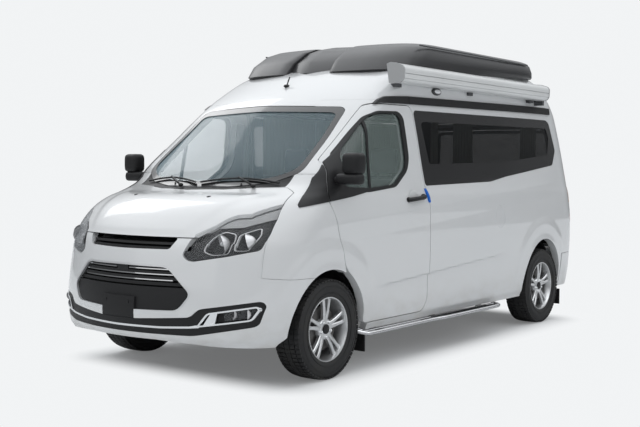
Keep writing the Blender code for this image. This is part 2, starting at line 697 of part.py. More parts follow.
def rear_end():
    hinge = (0, GATE_HINGE_Y, GATE_HINGE_Z)
    gate = skin(SIDE_WALL, across(TAILGATE_HALF, WHEELBASE + 0.5, TAIL_FAR),
                across(TAIL_WINDOW_HALF, WHEELBASE + 0.4, TAIL_FAR),
                skin(0.020, across(REAR_PLATE_HALF, WHEELBASE + 0.5, TAIL_FAR), outer=-0.010))
    finish(gate, "tailgate", "white_paint", origin=hinge, smooth=35)
    pane = skin(GLASS, across(TAIL_WINDOW_HALF, WHEELBASE + 0.4, TAIL_FAR, -FIT))
    finish(pane, "tailgate_glass", "glass", origin=hinge, smooth=35)
    bumper = skin(BUMPER_WALL, box(-WIDE, WIDE, WHEELBASE + 0.46, TAIL_FAR, 0.30, 0.615),
                  prism("x", grow(rear_arch(), FIT), -WIDE, WIDE))
    tail = WHEELBASE + REAR_OVERHANG
    shelf = [(0.0, SHELF_FRONT), (0.74, SHELF_FRONT), (0.74, tail - 0.10), (0.58, tail - 0.03),
             (0.0, tail)]
    step = prism("z", both(shelf), 0.38, 0.60)
    outside = cut(box(-1, 1, SHELF_FRONT - 0.1, tail + 0.2, 0.3, 0.7), hull(BUMPER_WALL))
    join(bumper, common(step, outside))
    finish(bumper, "rear_bumper", "black_plastic", smooth=35)


# ---- doors --------------------------------------------------------------------
HANDLE_Z = 1.203
HANDLE_PLAN = [
    (0.950, 0.955), (0.990, 0.972), (0.990, 1.193), (0.950, 1.210), (0.950, 1.180),
    (0.979, 1.172), (0.979, 0.993), (0.950, 0.985)]


def doors():
    for side, sign in SIDES.items():
        origin = (sign * DOOR_HINGE_X, DOOR_HINGE_Y, DOOR_HINGE_Z)
        panel = skin(SIDE_WALL, side_area(side, DOOR_OUTLINE, DOOR_INNER_X),
                     side_area(side, DOOR_WINDOW))
        handle = prism("z", HANDLE_PLAN, HANDLE_Z - 0.012, HANDLE_Z + 0.012)
        mirror = block((1.000, 0.058, 1.388), (1.143, 0.165, 1.532), 0.022)
        foot = box(0.940, 1.136, 0.064, 0.160, 1.318, 1.392)
        arm = box(0.900, 1.000, 0.075, 0.145, 1.326, 1.372)
        join(mirror, foot, arm)
        cut(mirror, hull(-FIT))
        if sign < 0:
            flip(mirror)
            flip(handle)
        join(panel, handle)
        finish(panel, f"door_{side}", "white_paint", origin, 35)
        glass = skin(GLASS, side_area(side, grow(DOOR_WINDOW, -FIT), 0.5))
        finish(glass, f"door_glass_{side}", "glass", origin, 35)
        finish(mirror, f"mirror_{side}", "black_plastic", origin, 35)


# ---- underneath ---------------------------------------------------------------
def wheelhouse(sign, y, inner_x, radius, centre_z):
    """A half-round housing closed on its inboard side, with the flap behind the wheel."""
    band = arc(y, centre_z, radius, -4, 184, HOUSING_STEPS)
    band += arc(y, centre_z, radius - HOUSING_WALL, 184, -4, HOUSING_STEPS)
    shell = prism("x", band, inner_x, HOUSING_X)
    disc = arc(y, centre_z, radius - HOUSING_WALL / 2, 12, 168, HOUSING_STEPS - 2)
    wall = prism("x", disc, inner_x + 0.003, inner_x + HOUSING_WALL)
    top = centre_z + 0.01
    inside = HOUSING_X - 0.004
    outline = [(0.765, 0.13), (0.945, 0.13), (0.945, 0.275), (inside, 0.275), (inside, top),
               (0.765, top)]
    flap_y = y + radius - 0.016
    join(shell, wall, prism("y", outline, flap_y, flap_y + 0.012))
    if sign < 0:
        flip(shell)
    return shell


def underbody():
    """Floor, chassis rails, wheel housings with mud flaps, and sills."""
    half = [(0.0, FLOOR_FRONT), (FLOOR_X, FLOOR_FRONT), (FLOOR_X, WHEELBASE + 0.42),
            (FLOOR_X - 0.08, FLOOR_REAR), (0.0, FLOOR_REAR)]
    floor = prism("z", both(half), FLOOR_Z - FLOOR_DEPTH, FLOOR_Z)
    join(floor, box(-0.50, 0.50, BULKHEAD_Y, FLOOR_FRONT + 0.01, FLOOR_Z - FLOOR_DEPTH, FLOOR_Z))
    front, back = WHEELBASE - REAR_HOUSING + 0.010, WHEELBASE + REAR_HOUSING - 0.010
    for sign in (1, -1):
        x = sign * RAIL_X
        join(floor, box(x - 0.05, x + 0.05, RAILS_FRONT, WHEELBASE + 0.70, RAIL_Z, FLOOR_Z - 0.03))
        join(floor, wheelhouse(sign, 0.0, 0.515, FRONT_HOUSING, TYRE_RADIUS))
        well = box(0.70, 0.99, front, back, 0.1, 1.2)
        sill = box(0.80, HOUSING_X, FRONT_HOUSING + 0.015, front + 0.005, SILL_Z, FLOOR_Z - 0.005)
        if sign < 0:
            flip(well)
            flip(sill)
        cut(floor, well)
        join(floor, wheelhouse(sign, WHEELBASE, 0.690, REAR_HOUSING, TYRE_RADIUS + REAR_LIFT), sill)
    finish(floor, "underbody", "trim_grey")


def running_gear():
    block_ = box(-0.32, 0.32, -0.62, -0.08, FLOOR_Z - 0.10, 0.98)
    finish(block_, "engine_block", "steel")
    frame_z = TYRE_RADIUS - 0.118
    ball_x = KINGPIN_X - 0.070
    subframe = box(-0.42, 0.42, -0.30, 0.20, frame_z, frame_z + 0.075)
    for sign in (1, -1):
        for y in (-0.22, 0.12):
            ends = [(sign * 0.38, y, frame_z + 0.025), (sign * ball_x, 0.0, frame_z + 0.007)]
            join(subframe, tube("arm", ends, 0.02, 6))
        ends = [(sign * ball_x, 0, frame_z - 0.017), (sign * ball_x, 0, frame_z + 0.029)]
        join(subframe, tube("ball", ends, 0.026, 8))
    finish(subframe, "front_subframe", "steel")

    axle = tube("axle", [(-AXLE_END, WHEELBASE, TYRE_RADIUS), (AXLE_END, WHEELBASE, TYRE_RADIUS)],
                0.04, 12)
    for x in (-RAIL_X, RAIL_X):
        leaf = TYRE_RADIUS + 0.015
        join(axle, box(x - 0.035, x + 0.035, SPRING_FRONT, SPRING_REAR, leaf, leaf + 0.02))
        for y in (SPRING_FRONT, SPRING_REAR - 0.05):
            join(axle, box(x - 0.03, x + 0.03, y, y + 0.05, leaf + 0.01, RAIL_Z - FIT))
    finish(axle, "rear_axle", "steel")

    for side, sign in SIDES.items():
        ends = [(0.700, 0, TYRE_RADIUS), (AXLE_END, 0, TYRE_RADIUS)]
        upright = box(0.690, 0.730, -0.05, 0.05, frame_z + 0.037, TYRE_RADIUS + 0.257)
        join(upright, tube("stub", ends, 0.045, 12))
        if sign < 0:
            flip(upright)
        finish(upright, f"knuckle_{side}", "steel", origin=(sign * KINGPIN_X, 0, TYRE_RADIUS))


def side_steps():
    """Two tubes on three arms, and a tread between them over the rear half."""
    end = STEP_START + STEP_LENGTH
    line = [(STEP_X, STEP_START, STEP_Z), (STEP_X, STEP_START + 0.41 * STEP_LENGTH, STEP_Z),
            (STEP_X + STEP_BOW, STEP_START + 0.56 * STEP_LENGTH, STEP_Z),
            (STEP_X + STEP_BOW, end, STEP_Z)]
    for side, sign in SIDES.items():
        bar = tube("step", line, 0.016, 8)
        inner_x = STEP_X - 0.060
        ends = [(inner_x, STEP_START + 0.05, STEP_Z - 0.012), (inner_x, end - 0.04, STEP_Z - 0.012)]
        join(bar, tube("inner", ends, 0.012, 8))
        join(bar, box(STEP_X - 0.085, STEP_X + 0.010, STEP_START + 0.45 * STEP_LENGTH, end - 0.06,
                      STEP_Z - 0.014, STEP_Z + 0.010))
        for k in range(3):
            y = STEP_START + 0.13 + k * (STEP_LENGTH - 0.31) / 2
            join(bar, box(0.86, STEP_X + 0.005, y, y + 0.05, STEP_Z - 0.011, STEP_Z + 0.007))
        if sign < 0:
            flip(bar)
        finish(bar, f"side_step_{side}", "stainless", smooth=35)


# ---- wheels -------------------------------------------------------------------
# One pair of spokes and the slot between them, seen from the side, at the wheel's top.
SPOKE_TIP = RIM_RADIUS - 0.016
SLOT_TIP = SPOKE_TIP - 0.028
SPOKE_PAIR = [(-0.020, 0.050), (-0.043, SPOKE_TIP), (0.043, SPOKE_TIP), (0.020, 0.050)]
SPOKE_SLOT = [(-0.004, 0.112), (-0.015, SLOT_TIP), (0.015, SLOT_TIP), (0.004, 0.112)]
SPOKE_PAIRS = 5


def tyre():
    half = TYRE_WIDTH / 2
    bulge = (RIM_RADIUS + TYRE_RADIUS) / 2
    profile = [
        (-RIM_HALF, RIM_RADIUS), (-half, bulge), (-half + 0.012, TYRE_RADIUS - 0.016),
        (-half + 0.040, TYRE_RADIUS), (half - 0.040, TYRE_RADIUS),
        (half - 0.012, TYRE_RADIUS - 0.016), (half, bulge), (RIM_HALF, RIM_RADIUS)]
    return revolve("tyre", profile, WHEEL_STEPS)


def rim():
    """A barrel, a hub, and five pairs of spokes."""
    edge = RIM_HALF - 0.001
    profile = [
        (-edge, RIM_RADIUS - 0.001), (-edge + 0.003, RIM_RADIUS - 0.024),
        (edge - 0.003, RIM_RADIUS - 0.018), (edge, RIM_RADIUS - 0.001)]
    made = revolve("rim", profile, WHEEL_STEPS)
    join(made, tube("hub", [(-HUB_DEPTH, 0, 0), (0.080, 0, 0)], 0.070, 12))
    for k in range(SPOKE_PAIRS):
        pair = cut(prism("x", SPOKE_PAIR, 0.048, 0.076), prism("x", SPOKE_SLOT, 0.0, 0.12))
        turn = Matrix.Rotation(2 * math.pi * k / SPOKE_PAIRS, 4, "X")
        join(made, moved(pair, turn))
    return made


def wheels():
    for axle, y in (("front", 0.0), ("rear", WHEELBASE)):
        for side, sign in SIDES.items():
            origin = (sign * WHEEL_X, y, TYRE_RADIUS)
            for part, maker, colour in (("tyre", tyre, "rubber"), ("rim", rim, "alloy")):
                made = maker()
                if sign < 0:
                    flip(made)
                moved(made, Matrix.Translation(origin))
                finish(made, f"{part}_{axle}_{side}", colour, origin, 35)


# ---- roof equipment -----------------------------------------------------------
def roof_pod():
    """A tray with a drooped nose, hollow below."""
    rings = []
    for z, wide, start, end, droop in POD_LEVELS:
        ring_points = []
        for x, share in both(POD_HALF):
            along = start + (end - start) * share
            y = POD_START + (POD_END - POD_START) * along
            ring_points.append((x * wide, y, z - droop * (1 - share)))
        rings.append(ring_points)
    pod = loft("pod", rings)
    hollow = box(-POD_HOLLOW_X, POD_HOLLOW_X, POD_START + 0.50, POD_END - 0.14,
                 GUTTER_Z + 0.27, POD_HOLLOW_Z)
    cut(pod, hollow, hull(-FIT))
    finish(pod, "roof_pod", "black_gloss", smooth=35)


def awning():
    """The rolled cloth's case with its end caps, on brackets from the roof's side."""
    end = AWNING_START + AWNING_LENGTH
    case = prism("y", AWNING_SECTION, AWNING_START + 0.01, end - 0.01)
    for y in (AWNING_START, end - 0.014):
        join(case, prism("y", grow(AWNING_SECTION, 0.003), y, y + 0.014))
    for share in (0.03, 0.47, 0.93):
        y = AWNING_START + share * AWNING_LENGTH
        join(case, box(0.80, 0.865, y, y + 0.07, 2.035, 2.070))
    cut(case, hull(-FIT))
    finish(case, "awning_case", "awning_white", smooth=35)


# ---- cab and living space -----------------------------------------------------
def front_seat(x):
    low = FLOOR_Z + FIT
    profile = [(SEAT_Y + y, low + z) for y, z in SEAT_PROFILE]
    base = prism("x", profile, x - SEAT_HALF, x + SEAT_HALF)
    foot = Vector((x, SEAT_Y, low))
    head = block(foot + Vector(HEADREST_LOW), foot + Vector(HEADREST_HIGH), 0.03)
    return join(base, head)


def curtain():
    """A rail with three gathered curtains, inside the long windows."""
    made = box(CURTAIN_X, 0.87, CURTAIN_START, CURTAIN_END, 1.866, 1.886)
    for y, width in CURTAINS:
        join(made, box(CURTAIN_X + 0.002, CURTAIN_X + 0.016, y, y + width, 1.34, 1.88))
    return common(made, hull(SIDE_WALL + FIT))


def cabin():
    front = BULKHEAD_Y + 0.04 + FIT
    profile = [(front, HOUSING_TOP), (front, DASH_FRONT_Z)] + DASH_PROFILE
    dash = prism("x", profile, -DASH_HALF, DASH_HALF)
    finish(dash, "dashboard", "trim_grey", smooth=35)
    for side, sign in SIDES.items():
        finish(front_seat(sign * SEAT_X), f"front_seat_{side}", "seat_cloth", smooth=35)
        made = curtain()
        if sign < 0:
            flip(made)
        finish(made, f"curtain_{side}", "curtain_cloth")
    profile = [(BENCH_Y + y, FLOOR_Z + FIT + z) for y, z in BENCH_PROFILE]
    finish(prism("x", profile, -BENCH_HALF, BENCH_HALF), "rear_bench", "seat_cloth")


def steering_wheel():
    tube_radius = 0.015
    wheel = revolve("wheel", arc(0, STEERING_RADIUS, tube_radius, 0, 288, 4), 18)
    spoke = box(-0.012, 0.012, -0.03, 0.03, -STEERING_RADIUS, STEERING_RADIUS)
    hub = tube("hub", [(-0.03, 0, 0), (0.02, 0, 0)], 0.06, 10)
    join(wheel, spoke, hub)
    turn = Matrix.Rotation(math.radians(90), 4, "Z")
    tilt = Matrix.Rotation(math.radians(STEERING_TILT), 4, "X")
    moved(wheel, Matrix.Translation(STEERING_CENTRE) @ tilt @ turn)
    finish(wheel, "steering_wheel", "black_plastic", STEERING_CENTRE, 35)


def build():
    for obj in list(bpy.data.objects):
        bpy.data.objects.remove(obj)
    body_sides()
    wings()
    lamps()
    roof()
    screens()
    sliding_door()
    bumper()
    grille()
    bonnet()
    cowl_and_bulkhead()
    rear_end()
    doors()
    underbody()
    running_gear()
    side_steps()
    wheels()
    roof_pod()
    awning()
    cabin()
    steering_wheel()


build()
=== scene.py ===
# %% [markdown]
# # A camper van with a raised roof
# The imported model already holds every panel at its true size, with its joints.
# This lesson dresses it: finer panels cut from one smooth body, glass that shows
# the cab, lamps, wheels with tread, cloth that has been through a simulation.
# The frame comes first, because every piece takes its place from it.

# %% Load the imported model
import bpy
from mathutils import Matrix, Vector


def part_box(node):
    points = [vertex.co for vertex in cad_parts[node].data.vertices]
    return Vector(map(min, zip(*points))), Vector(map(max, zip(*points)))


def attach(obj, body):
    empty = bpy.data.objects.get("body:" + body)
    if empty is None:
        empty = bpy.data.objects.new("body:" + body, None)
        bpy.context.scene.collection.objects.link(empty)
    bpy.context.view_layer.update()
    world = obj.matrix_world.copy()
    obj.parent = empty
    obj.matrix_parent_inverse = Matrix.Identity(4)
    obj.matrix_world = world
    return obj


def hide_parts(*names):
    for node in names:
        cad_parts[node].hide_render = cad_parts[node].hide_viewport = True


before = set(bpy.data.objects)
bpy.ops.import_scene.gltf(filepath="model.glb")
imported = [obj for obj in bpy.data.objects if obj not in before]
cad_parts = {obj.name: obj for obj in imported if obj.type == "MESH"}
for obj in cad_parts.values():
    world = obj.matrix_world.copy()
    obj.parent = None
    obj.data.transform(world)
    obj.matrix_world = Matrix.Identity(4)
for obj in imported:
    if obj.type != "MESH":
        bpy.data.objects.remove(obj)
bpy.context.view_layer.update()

# %% [markdown]
# Next come Blender's own modules, and the few stations of the van that all the
# rest is measured from: the axles, the wheelbase and the two sides.

# %% Modules and the van's own stations
import math

import bmesh
import bpy
import numpy as np
from mathutils import Matrix, Vector


def middle(node):
    """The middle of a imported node's box."""
    low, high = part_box(node)
    return (low + high) / 2


FRONT_WHEEL = middle("tyre_front_left")
REAR_WHEEL = middle("tyre_rear_left")
AXLE_Y = FRONT_WHEEL.y
WHEELBASE = REAR_WHEEL.y - FRONT_WHEEL.y
TYRE_RADIUS = FRONT_WHEEL.z
SIDES = {"left": 1, "right": -1}
print(f"wheelbase {WHEELBASE:.3f} m, tyre radius {TYRE_RADIUS:.3f} m")

# %% [markdown]
# ## Small helpers for meshes
# Everything along the van is measured from the front axle, as on a workshop
# drawing. `put` moves a finished mesh to the frame's own origin, shades it,
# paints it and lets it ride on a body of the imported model.

# %% Mesh helpers
def linked(data, name="piece"):
    """An object for some data, linked to the scene."""
    obj = bpy.data.objects.new(name, data)
    bpy.context.scene.collection.objects.link(obj)
    return obj


def mesh_object(verts, faces, name="piece"):
    """A mesh object from lists or arrays of points and faces."""
    mesh = bpy.data.meshes.new(name)
    mesh.from_pydata([tuple(v) for v in verts], [], [tuple(f) for f in faces])
    return linked(mesh, name)


def face_out(obj, weld=0.0):
    """Turn all faces of a closed mesh to the outside, after welding near points."""
    bm = bmesh.new()
    bm.from_mesh(obj.data)
    if weld:
        bmesh.ops.remove_doubles(bm, verts=bm.verts, dist=weld)
    bmesh.ops.recalc_face_normals(bm, faces=bm.faces)
    bm.to_mesh(obj.data)
    bm.free()
    return obj


def loft(rings, closed=True):
    """Skin between rings of equal length; flat ends when closed."""
    count = len(rings[0])
    verts = [p for ring in rings for p in ring]
    faces = []
    if closed:
        faces.append(tuple(range(count)))
        faces.append(tuple((len(rings) - 1) * count + i for i in range(count)))
    for level in range(len(rings) - 1):
        for i in range(count):
            j = (i + 1) % count
            low, high = level * count, (level + 1) * count
            faces.append((low + i, low + j, high + j, high + i))
    return face_out(mesh_object(verts, faces))


def turned(axis, a, b, depth):
    """A point of an outline: (y, z) along x, (x, z) along y, (x, y) along z."""
    if axis == "x":
        return (depth, a, b)
    if axis == "y":
        return (a, depth, b)
    return (a, b, depth)


def prism(axis, outline, low, high):
    """An outline pushed along an axis."""
    return loft([[turned(axis, a, b, d) for a, b in outline] for d in (low, high)])


def box(x0, x1, y0, y1, z0, z1):
    return prism("z", [(x0, y0), (x1, y0), (x1, y1), (x0, y1)], z0, z1)


def turn(profile, steps, axis="x", cap=False):
    """A profile of (along, radius) turned round an axis; a closed profile unless capped."""
    rings = []
    for i in range(steps):
        a = 2 * math.pi * i / steps
        ring = []
        for along, radius in profile:
            ring.append(turned(axis, radius * math.cos(a), radius * math.sin(a), along))
        rings.append(ring)
    count = len(profile)
    faces = []
    for i in range(steps):
        j = (i + 1) % steps
        for k in range(count - 1 if cap else count):
            m = (k + 1) % count
            faces.append((i * count + k, i * count + m, j * count + m, j * count + k))
    return face_out(mesh_object([p for ring in rings for p in ring], faces))


def pipe(points, radius, sides=12):
    """A round bar along a line of points."""
    points = [Vector(p) for p in points]
    rings = []
    up = Vector((0, 0, 1))
    for i, p in enumerate(points):
        ahead = points[min(i + 1, len(points) - 1)]
        along = (ahead - points[max(i - 1, 0)]).normalized()
        side = along.cross(up)
        side = side.normalized() if side.length > 0.05 else Vector((1, 0, 0))
        rise = side.cross(along).normalized()
        ring = []
        for k in range(sides):
            a = 2 * math.pi * k / sides
            ring.append(p + radius * (math.cos(a) * side + math.sin(a) * rise))
        rings.append(ring)
    return loft(rings)


def ball(centre, size, steps=24):
    """An ellipsoid with its three half sizes."""
    profile = [(math.cos(math.pi * k / 12), math.sin(math.pi * k / 12)) for k in range(13)]
    obj = turn(profile, steps, "z", cap=True)
    obj.data.transform(Matrix.Translation(centre) @ Matrix.Diagonal((*size, 1)))
    return obj


def moved(obj, matrix):
    """Change a mesh's own points by a matrix; a mirror keeps its faces pointing out."""
    obj.data.transform(matrix)
    if matrix.determinant() < 0:
        obj.data.flip_normals()
    return obj


def shift(x=0.0, y=0.0, z=0.0):
    return Matrix.Translation((x, y, z))


def rotate(degrees, axis):
    return Matrix.Rotation(math.radians(degrees), 4, axis)


FLIP = Matrix.Scale(-1, 4, (1, 0, 0))


def handed(obj, side):
    """A piece made for the left, turned over for the right."""
    return moved(obj, FLIP) if side == "right" else obj


def drop(*objects):
    for obj in objects:
        bpy.data.objects.remove(obj)


def merged(objects):
    """Several meshes as one object, each part keeping its own faces."""
    bm = bmesh.new()
    for obj in objects:
        bm.from_mesh(obj.data)
    mesh = bpy.data.meshes.new("piece")
    bm.to_mesh(mesh)
    bm.free()
    drop(*objects)
    return linked(mesh)


def copied(obj):
    """A copy with a mesh of its own."""
    return linked(obj.data.copy())


def baked(obj):
    """The mesh of an object with its modifiers applied, which then leave it."""
    graph = bpy.context.evaluated_depsgraph_get()
    mesh = bpy.data.meshes.new_from_object(obj.evaluated_get(graph))
    obj.modifiers.clear()
    return mesh

# %% [markdown]
# ## Cutting with booleans
# Panels are made as a press shop's trimming die makes them: a full skin, then
# cuts along the shut lines. The MANIFOLD solver is quick on dense closed meshes.
# The other way, drawing each panel by itself, never meets its neighbours so well.

# %% Boolean helpers
def boolean(obj, tool, operation):
    mod = obj.modifiers.new("cut", "BOOLEAN")
    mod.operation = operation
    mod.solver = "MANIFOLD"
    mod.object = tool
    old, obj.data = obj.data, baked(obj)
    bpy.data.meshes.remove(old)
    drop(tool)
    return obj


def common(obj, tool):
    return boolean(obj, tool, "INTERSECT")


def cut(obj, *tools):
    for tool in tools:
        boolean(obj, tool, "DIFFERENCE")
    return obj


def join(obj, *tools):
    for tool in tools:
        boolean(obj, tool, "UNION")
    return obj


def put(obj, name, finish, body="shell", nodes=(), smooth=35):
    """Place, shade and paint a finished piece, and let it ride on its body."""
    obj.data.transform(shift(y=AXLE_Y))
    obj.name = obj.data.name = name
    obj.data.materials.clear()
    obj.data.materials.append(FINISH[finish])
    obj.data.shade_smooth()
    obj.data.set_sharp_from_angle(angle=math.radians(smooth))
    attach(obj, body)
    if nodes:
        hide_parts(*nodes)
    return obj

# %% [markdown]
# ## Shader maths as Python
# A wrapper round a socket lets `height * 0.4 + grain` build its own Math nodes.
# Colours and directions are mixed by nodes made for them, since a Math node
# would turn them grey.

# %% Sockets that can be added and multiplied
class Wire:
    """A node's output that Python's operators work on."""

    def __init__(self, maker, socket):
        self.maker = maker
        self.socket = socket

    def maths(self, operation, *values):
        return self.maker.node("ShaderNodeMath", {"operation": operation}, dict(enumerate(values)))

    def __add__(self, other):
        return self.maths("ADD", self, other)

    def __sub__(self, other):
        return self.maths("SUBTRACT", self, other)

    def __rsub__(self, other):
        return self.maths("SUBTRACT", other, self)

    def __mul__(self, other):
        return self.maths("MULTIPLY", self, other)

    def __pow__(self, other):
        return self.maths("POWER", self, other)

    __radd__ = __add__
    __rmul__ = __mul__

    def over(self, low, high):
        """0 below low, 1 above high, and a smooth step between."""
        settings = {"interpolation_type": "SMOOTHSTEP"}
        return self.maker.node("ShaderNodeMapRange", settings,
                               {"Value": self, "From Min": low, "From Max": high})


class Nodes:
    """A node tree, and the one method that makes any node in it."""

    def __init__(self, owner):
        owner.use_nodes = True
        self.tree = owner.node_tree

    def link(self, socket, value):
        if isinstance(value, Wire):
            self.tree.links.new(value.socket, socket)
        else:
            socket.default_value = value

    def node(self, kind, settings=None, inputs=None, output=0):
        """Any node: its type, its settings, and the values or links of its sockets."""
        made = self.tree.nodes.new(kind)
        for key, value in (settings or {}).items():
            setattr(made, key, value)
        for key, value in (inputs or {}).items():
            self.link(made.inputs[key], value)
        return Wire(self, made.outputs[output]) if made.outputs else made


class Finish(Nodes):
    """A Principled material whose colour, gloss and relief can be fed."""

    def __init__(self, name, colour, roughness, metallic=0.0, **sockets):
        self.material = bpy.data.materials.new(name)
        super().__init__(self.material)
        self.shader = self.tree.nodes["Principled BSDF"]
        self.material.diffuse_color = (*colour, 1)
        self.feed("Base Color", (*colour, 1))
        self.feed("Roughness", roughness)
        self.feed("Metallic", metallic)
        for key, value in sockets.items():
            self.feed(key.replace("_", " "), value)

    def feed(self, name, value):
        self.link(self.shader.inputs[name], value)

    def place(self):
        """Where a point lies on the van, in metres."""
        return self.node("ShaderNodeTexCoord", output=3)

    def axis(self, index):
        return self.node("ShaderNodeSeparateXYZ", None, {0: self.place()}, output=index)

    def noise(self, scale, detail=2.0, stretch=(1, 1, 1)):
        where = self.node("ShaderNodeVectorMath", {"operation": "MULTIPLY"},
                          {0: self.place(), 1: stretch})
        return self.node("ShaderNodeTexNoise", None,
                         {"Vector": where, "Scale": scale, "Detail": detail})

    def mix(self, share, one, two):
        return self.node("ShaderNodeMix", {"data_type": "RGBA"},
                         {0: share, 6: one, 7: two}, output=2)

    def bump(self, height, strength=0.3, distance=0.001):
        self.feed("Normal", self.node("ShaderNodeBump", None, {
            "Height": height, "Strength": strength, "Distance": distance}))

# %% [markdown]
# ## The finishes
# Every finish starts from a row of a table: colour, roughness, metallic, and the
# size and depth of its grain. Noise then lets the colour and the gloss wander a
# little, as they do on real paint, plastic and metal.

# %% Plain finishes from a table
# name: colour, roughness, metallic, coat, grain size (per metre), grain depth
PLAIN = {
    "black gloss": ((0.010, 0.010, 0.011), 0.16, 0.0, 0.6, 40, 0.00002),
    "pod black": ((0.040, 0.040, 0.042), 0.32, 0.0, 0.0, 40, 0.00002),
    "black plastic": ((0.017, 0.017, 0.018), 0.48, 0.0, 0.0, 900, 0.00012),
    "dark grey plastic": ((0.045, 0.047, 0.05), 0.42, 0.0, 0.0, 900, 0.0001),
    "chrome": ((0.80, 0.81, 0.82), 0.07, 1.0, 0.0, 60, 0.00001),
    "reflector silver": ((0.80, 0.80, 0.81), 0.22, 0.30, 0.4, 60, 0.00001),
    "silver paint": ((0.76, 0.77, 0.78), 0.28, 0.45, 0.5, 500, 0.00001),
    "wheel silver": ((0.66, 0.665, 0.67), 0.30, 0.85, 0.6, 300, 0.00002),
    "polished steel": ((0.62, 0.62, 0.63), 0.20, 1.0, 0.0, 250, 0.00003),
    "cast iron": ((0.16, 0.155, 0.15), 0.55, 0.8, 0.0, 350, 0.0002),
    "black steel": ((0.02, 0.02, 0.021), 0.55, 0.3, 0.0, 120, 0.0003),
    "awning white": ((0.80, 0.81, 0.81), 0.34, 0.0, 0.2, 400, 0.00004),
    "trim grey": ((0.075, 0.077, 0.082), 0.62, 0.0, 0.0, 1200, 0.0002),
    "cap grey": ((0.46, 0.465, 0.47), 0.5, 0.0, 0.0, 400, 0.00006),
    "lining grey": ((0.11, 0.11, 0.108), 0.85, 0.0, 0.0, 1500, 0.0003),
    "floor mat": ((0.035, 0.035, 0.037), 0.9, 0.0, 0.0, 900, 0.0006),
    "foam blue": ((0.0, 0.14, 0.62), 0.7, 0.0, 0.0, 700, 0.0003),
    "indicator amber": ((0.75, 0.27, 0.03), 0.25, 0.0, 0.5, 200, 0.00002),
    "lamp white": ((0.85, 0.86, 0.88), 0.2, 0.2, 0.3, 300, 0.00003),
}


def plain_finish(name, colour, roughness, metallic, coat, grain, depth):
    level = 0.25 if max(colour) < 0.03 else 0.5      # black trim mirrors less
    paint = Finish(name, colour, roughness, metallic, Coat_Weight=coat, Coat_Roughness=0.06,
                   Specular_IOR_Level=level)
    cloud = paint.noise(2.3, 3.0)
    light = tuple(min(1.0, c * 1.07 + 0.002) for c in colour)
    dark = tuple(c * 0.90 for c in colour)
    paint.feed("Base Color", paint.mix(cloud, (*dark, 1), (*light, 1)))
    paint.feed("Roughness", roughness * 0.88 + cloud * (roughness * 0.24))
    paint.bump(paint.noise(grain), 0.5, depth)
    return paint.material


FINISH = {name: plain_finish(name, *row) for name, row in PLAIN.items()}
print(len(FINISH), "plain finishes")

# %% [markdown]
# White paint on a working van is not one white. Orange peel softens the coat's
# reflections, and a thin film of road dust gathers towards the sills and behind
# the wheels. Height above the ground is enough to place the dust.

# %% White paint
def white_paint():
    paint = Finish("white paint", (0.78, 0.79, 0.80), 0.3, Coat_Weight=0.75,
                   Coat_Roughness=0.05)
    low = 1.0 - paint.axis(2).over(0.22, 0.62)
    dust = low * paint.noise(7.0, 5.0, (1, 1, 2)).over(0.32, 0.75)
    cloud = paint.noise(0.9, 2.0)
    clean = paint.mix(cloud, (0.765, 0.78, 0.79, 1), (0.80, 0.805, 0.81, 1))
    paint.feed("Base Color", paint.mix(dust * 0.45, clean, (0.52, 0.50, 0.46, 1)))
    paint.feed("Roughness", 0.26 + dust * 0.3 + cloud * 0.04)
    paint.feed("Coat Weight", 0.8 - dust * 0.7)
    paint.bump(paint.noise(45.0, 1.0), 0.1, 0.0002)
    return paint.material


FINISH["white paint"] = white_paint()

# %% [markdown]
# Glass shows what lies behind it and, towards its edges of view, only what it
# reflects. A tinted pane is an alpha that rises from the tint to one as the
# surface turns away: Layer Weight gives that turning.

# %% Glass and lenses
def pane(name, tint, alpha, roughness=0.02, level=0.8):
    """Clear or tinted glass that reflects more where it is seen at a low angle."""
    glass = Finish(name, tint, roughness, IOR=1.5, Specular_IOR_Level=level)
    facing = glass.node("ShaderNodeLayerWeight", None, {"Blend": 0.5}, output=1)
    film = glass.noise(1.6)
    share = alpha + (1 - alpha) * facing ** 4
    glass.feed("Alpha", share + (film - 0.5) * 0.04)
    glass.feed("Base Color", glass.mix(film, (*[c * 0.9 for c in tint], 1), (*tint, 1)))
    return glass.material


PANES = {
    "windscreen glass": ((0.28, 0.42, 0.48), 0.16),
    "door glass": ((0.32, 0.40, 0.38), 0.24),
    "dark glass": ((0.003, 0.004, 0.005), 0.60, 0.02, 0.2),
    "clear lens": ((0.50, 0.52, 0.54), 0.06),
    "red lens": ((0.42, 0.010, 0.012), 0.72, 0.05),
}
for name, row in PANES.items():
    FINISH[name] = pane(name, *row)
print(len(PANES), "kinds of glass")

# %% [markdown]
# Tyre rubber is dark and matt, greyer where the road has scuffed it. Cloth shows
# its weave as two crossed waves.

# %% Rubber and cloth
def rubber():
    paint = Finish("tyre rubber", (0.018, 0.018, 0.019), 0.75)
    dust = paint.noise(9.0, 5.0).over(0.35, 0.8)
    paint.feed("Base Color", paint.mix(dust, (0.012, 0.012, 0.013, 1), (0.034, 0.033, 0.031, 1)))
    paint.feed("Roughness", 0.62 + dust * 0.25)
    paint.bump(paint.noise(420.0, 3.0), 0.4, 0.0003)
    return paint.material


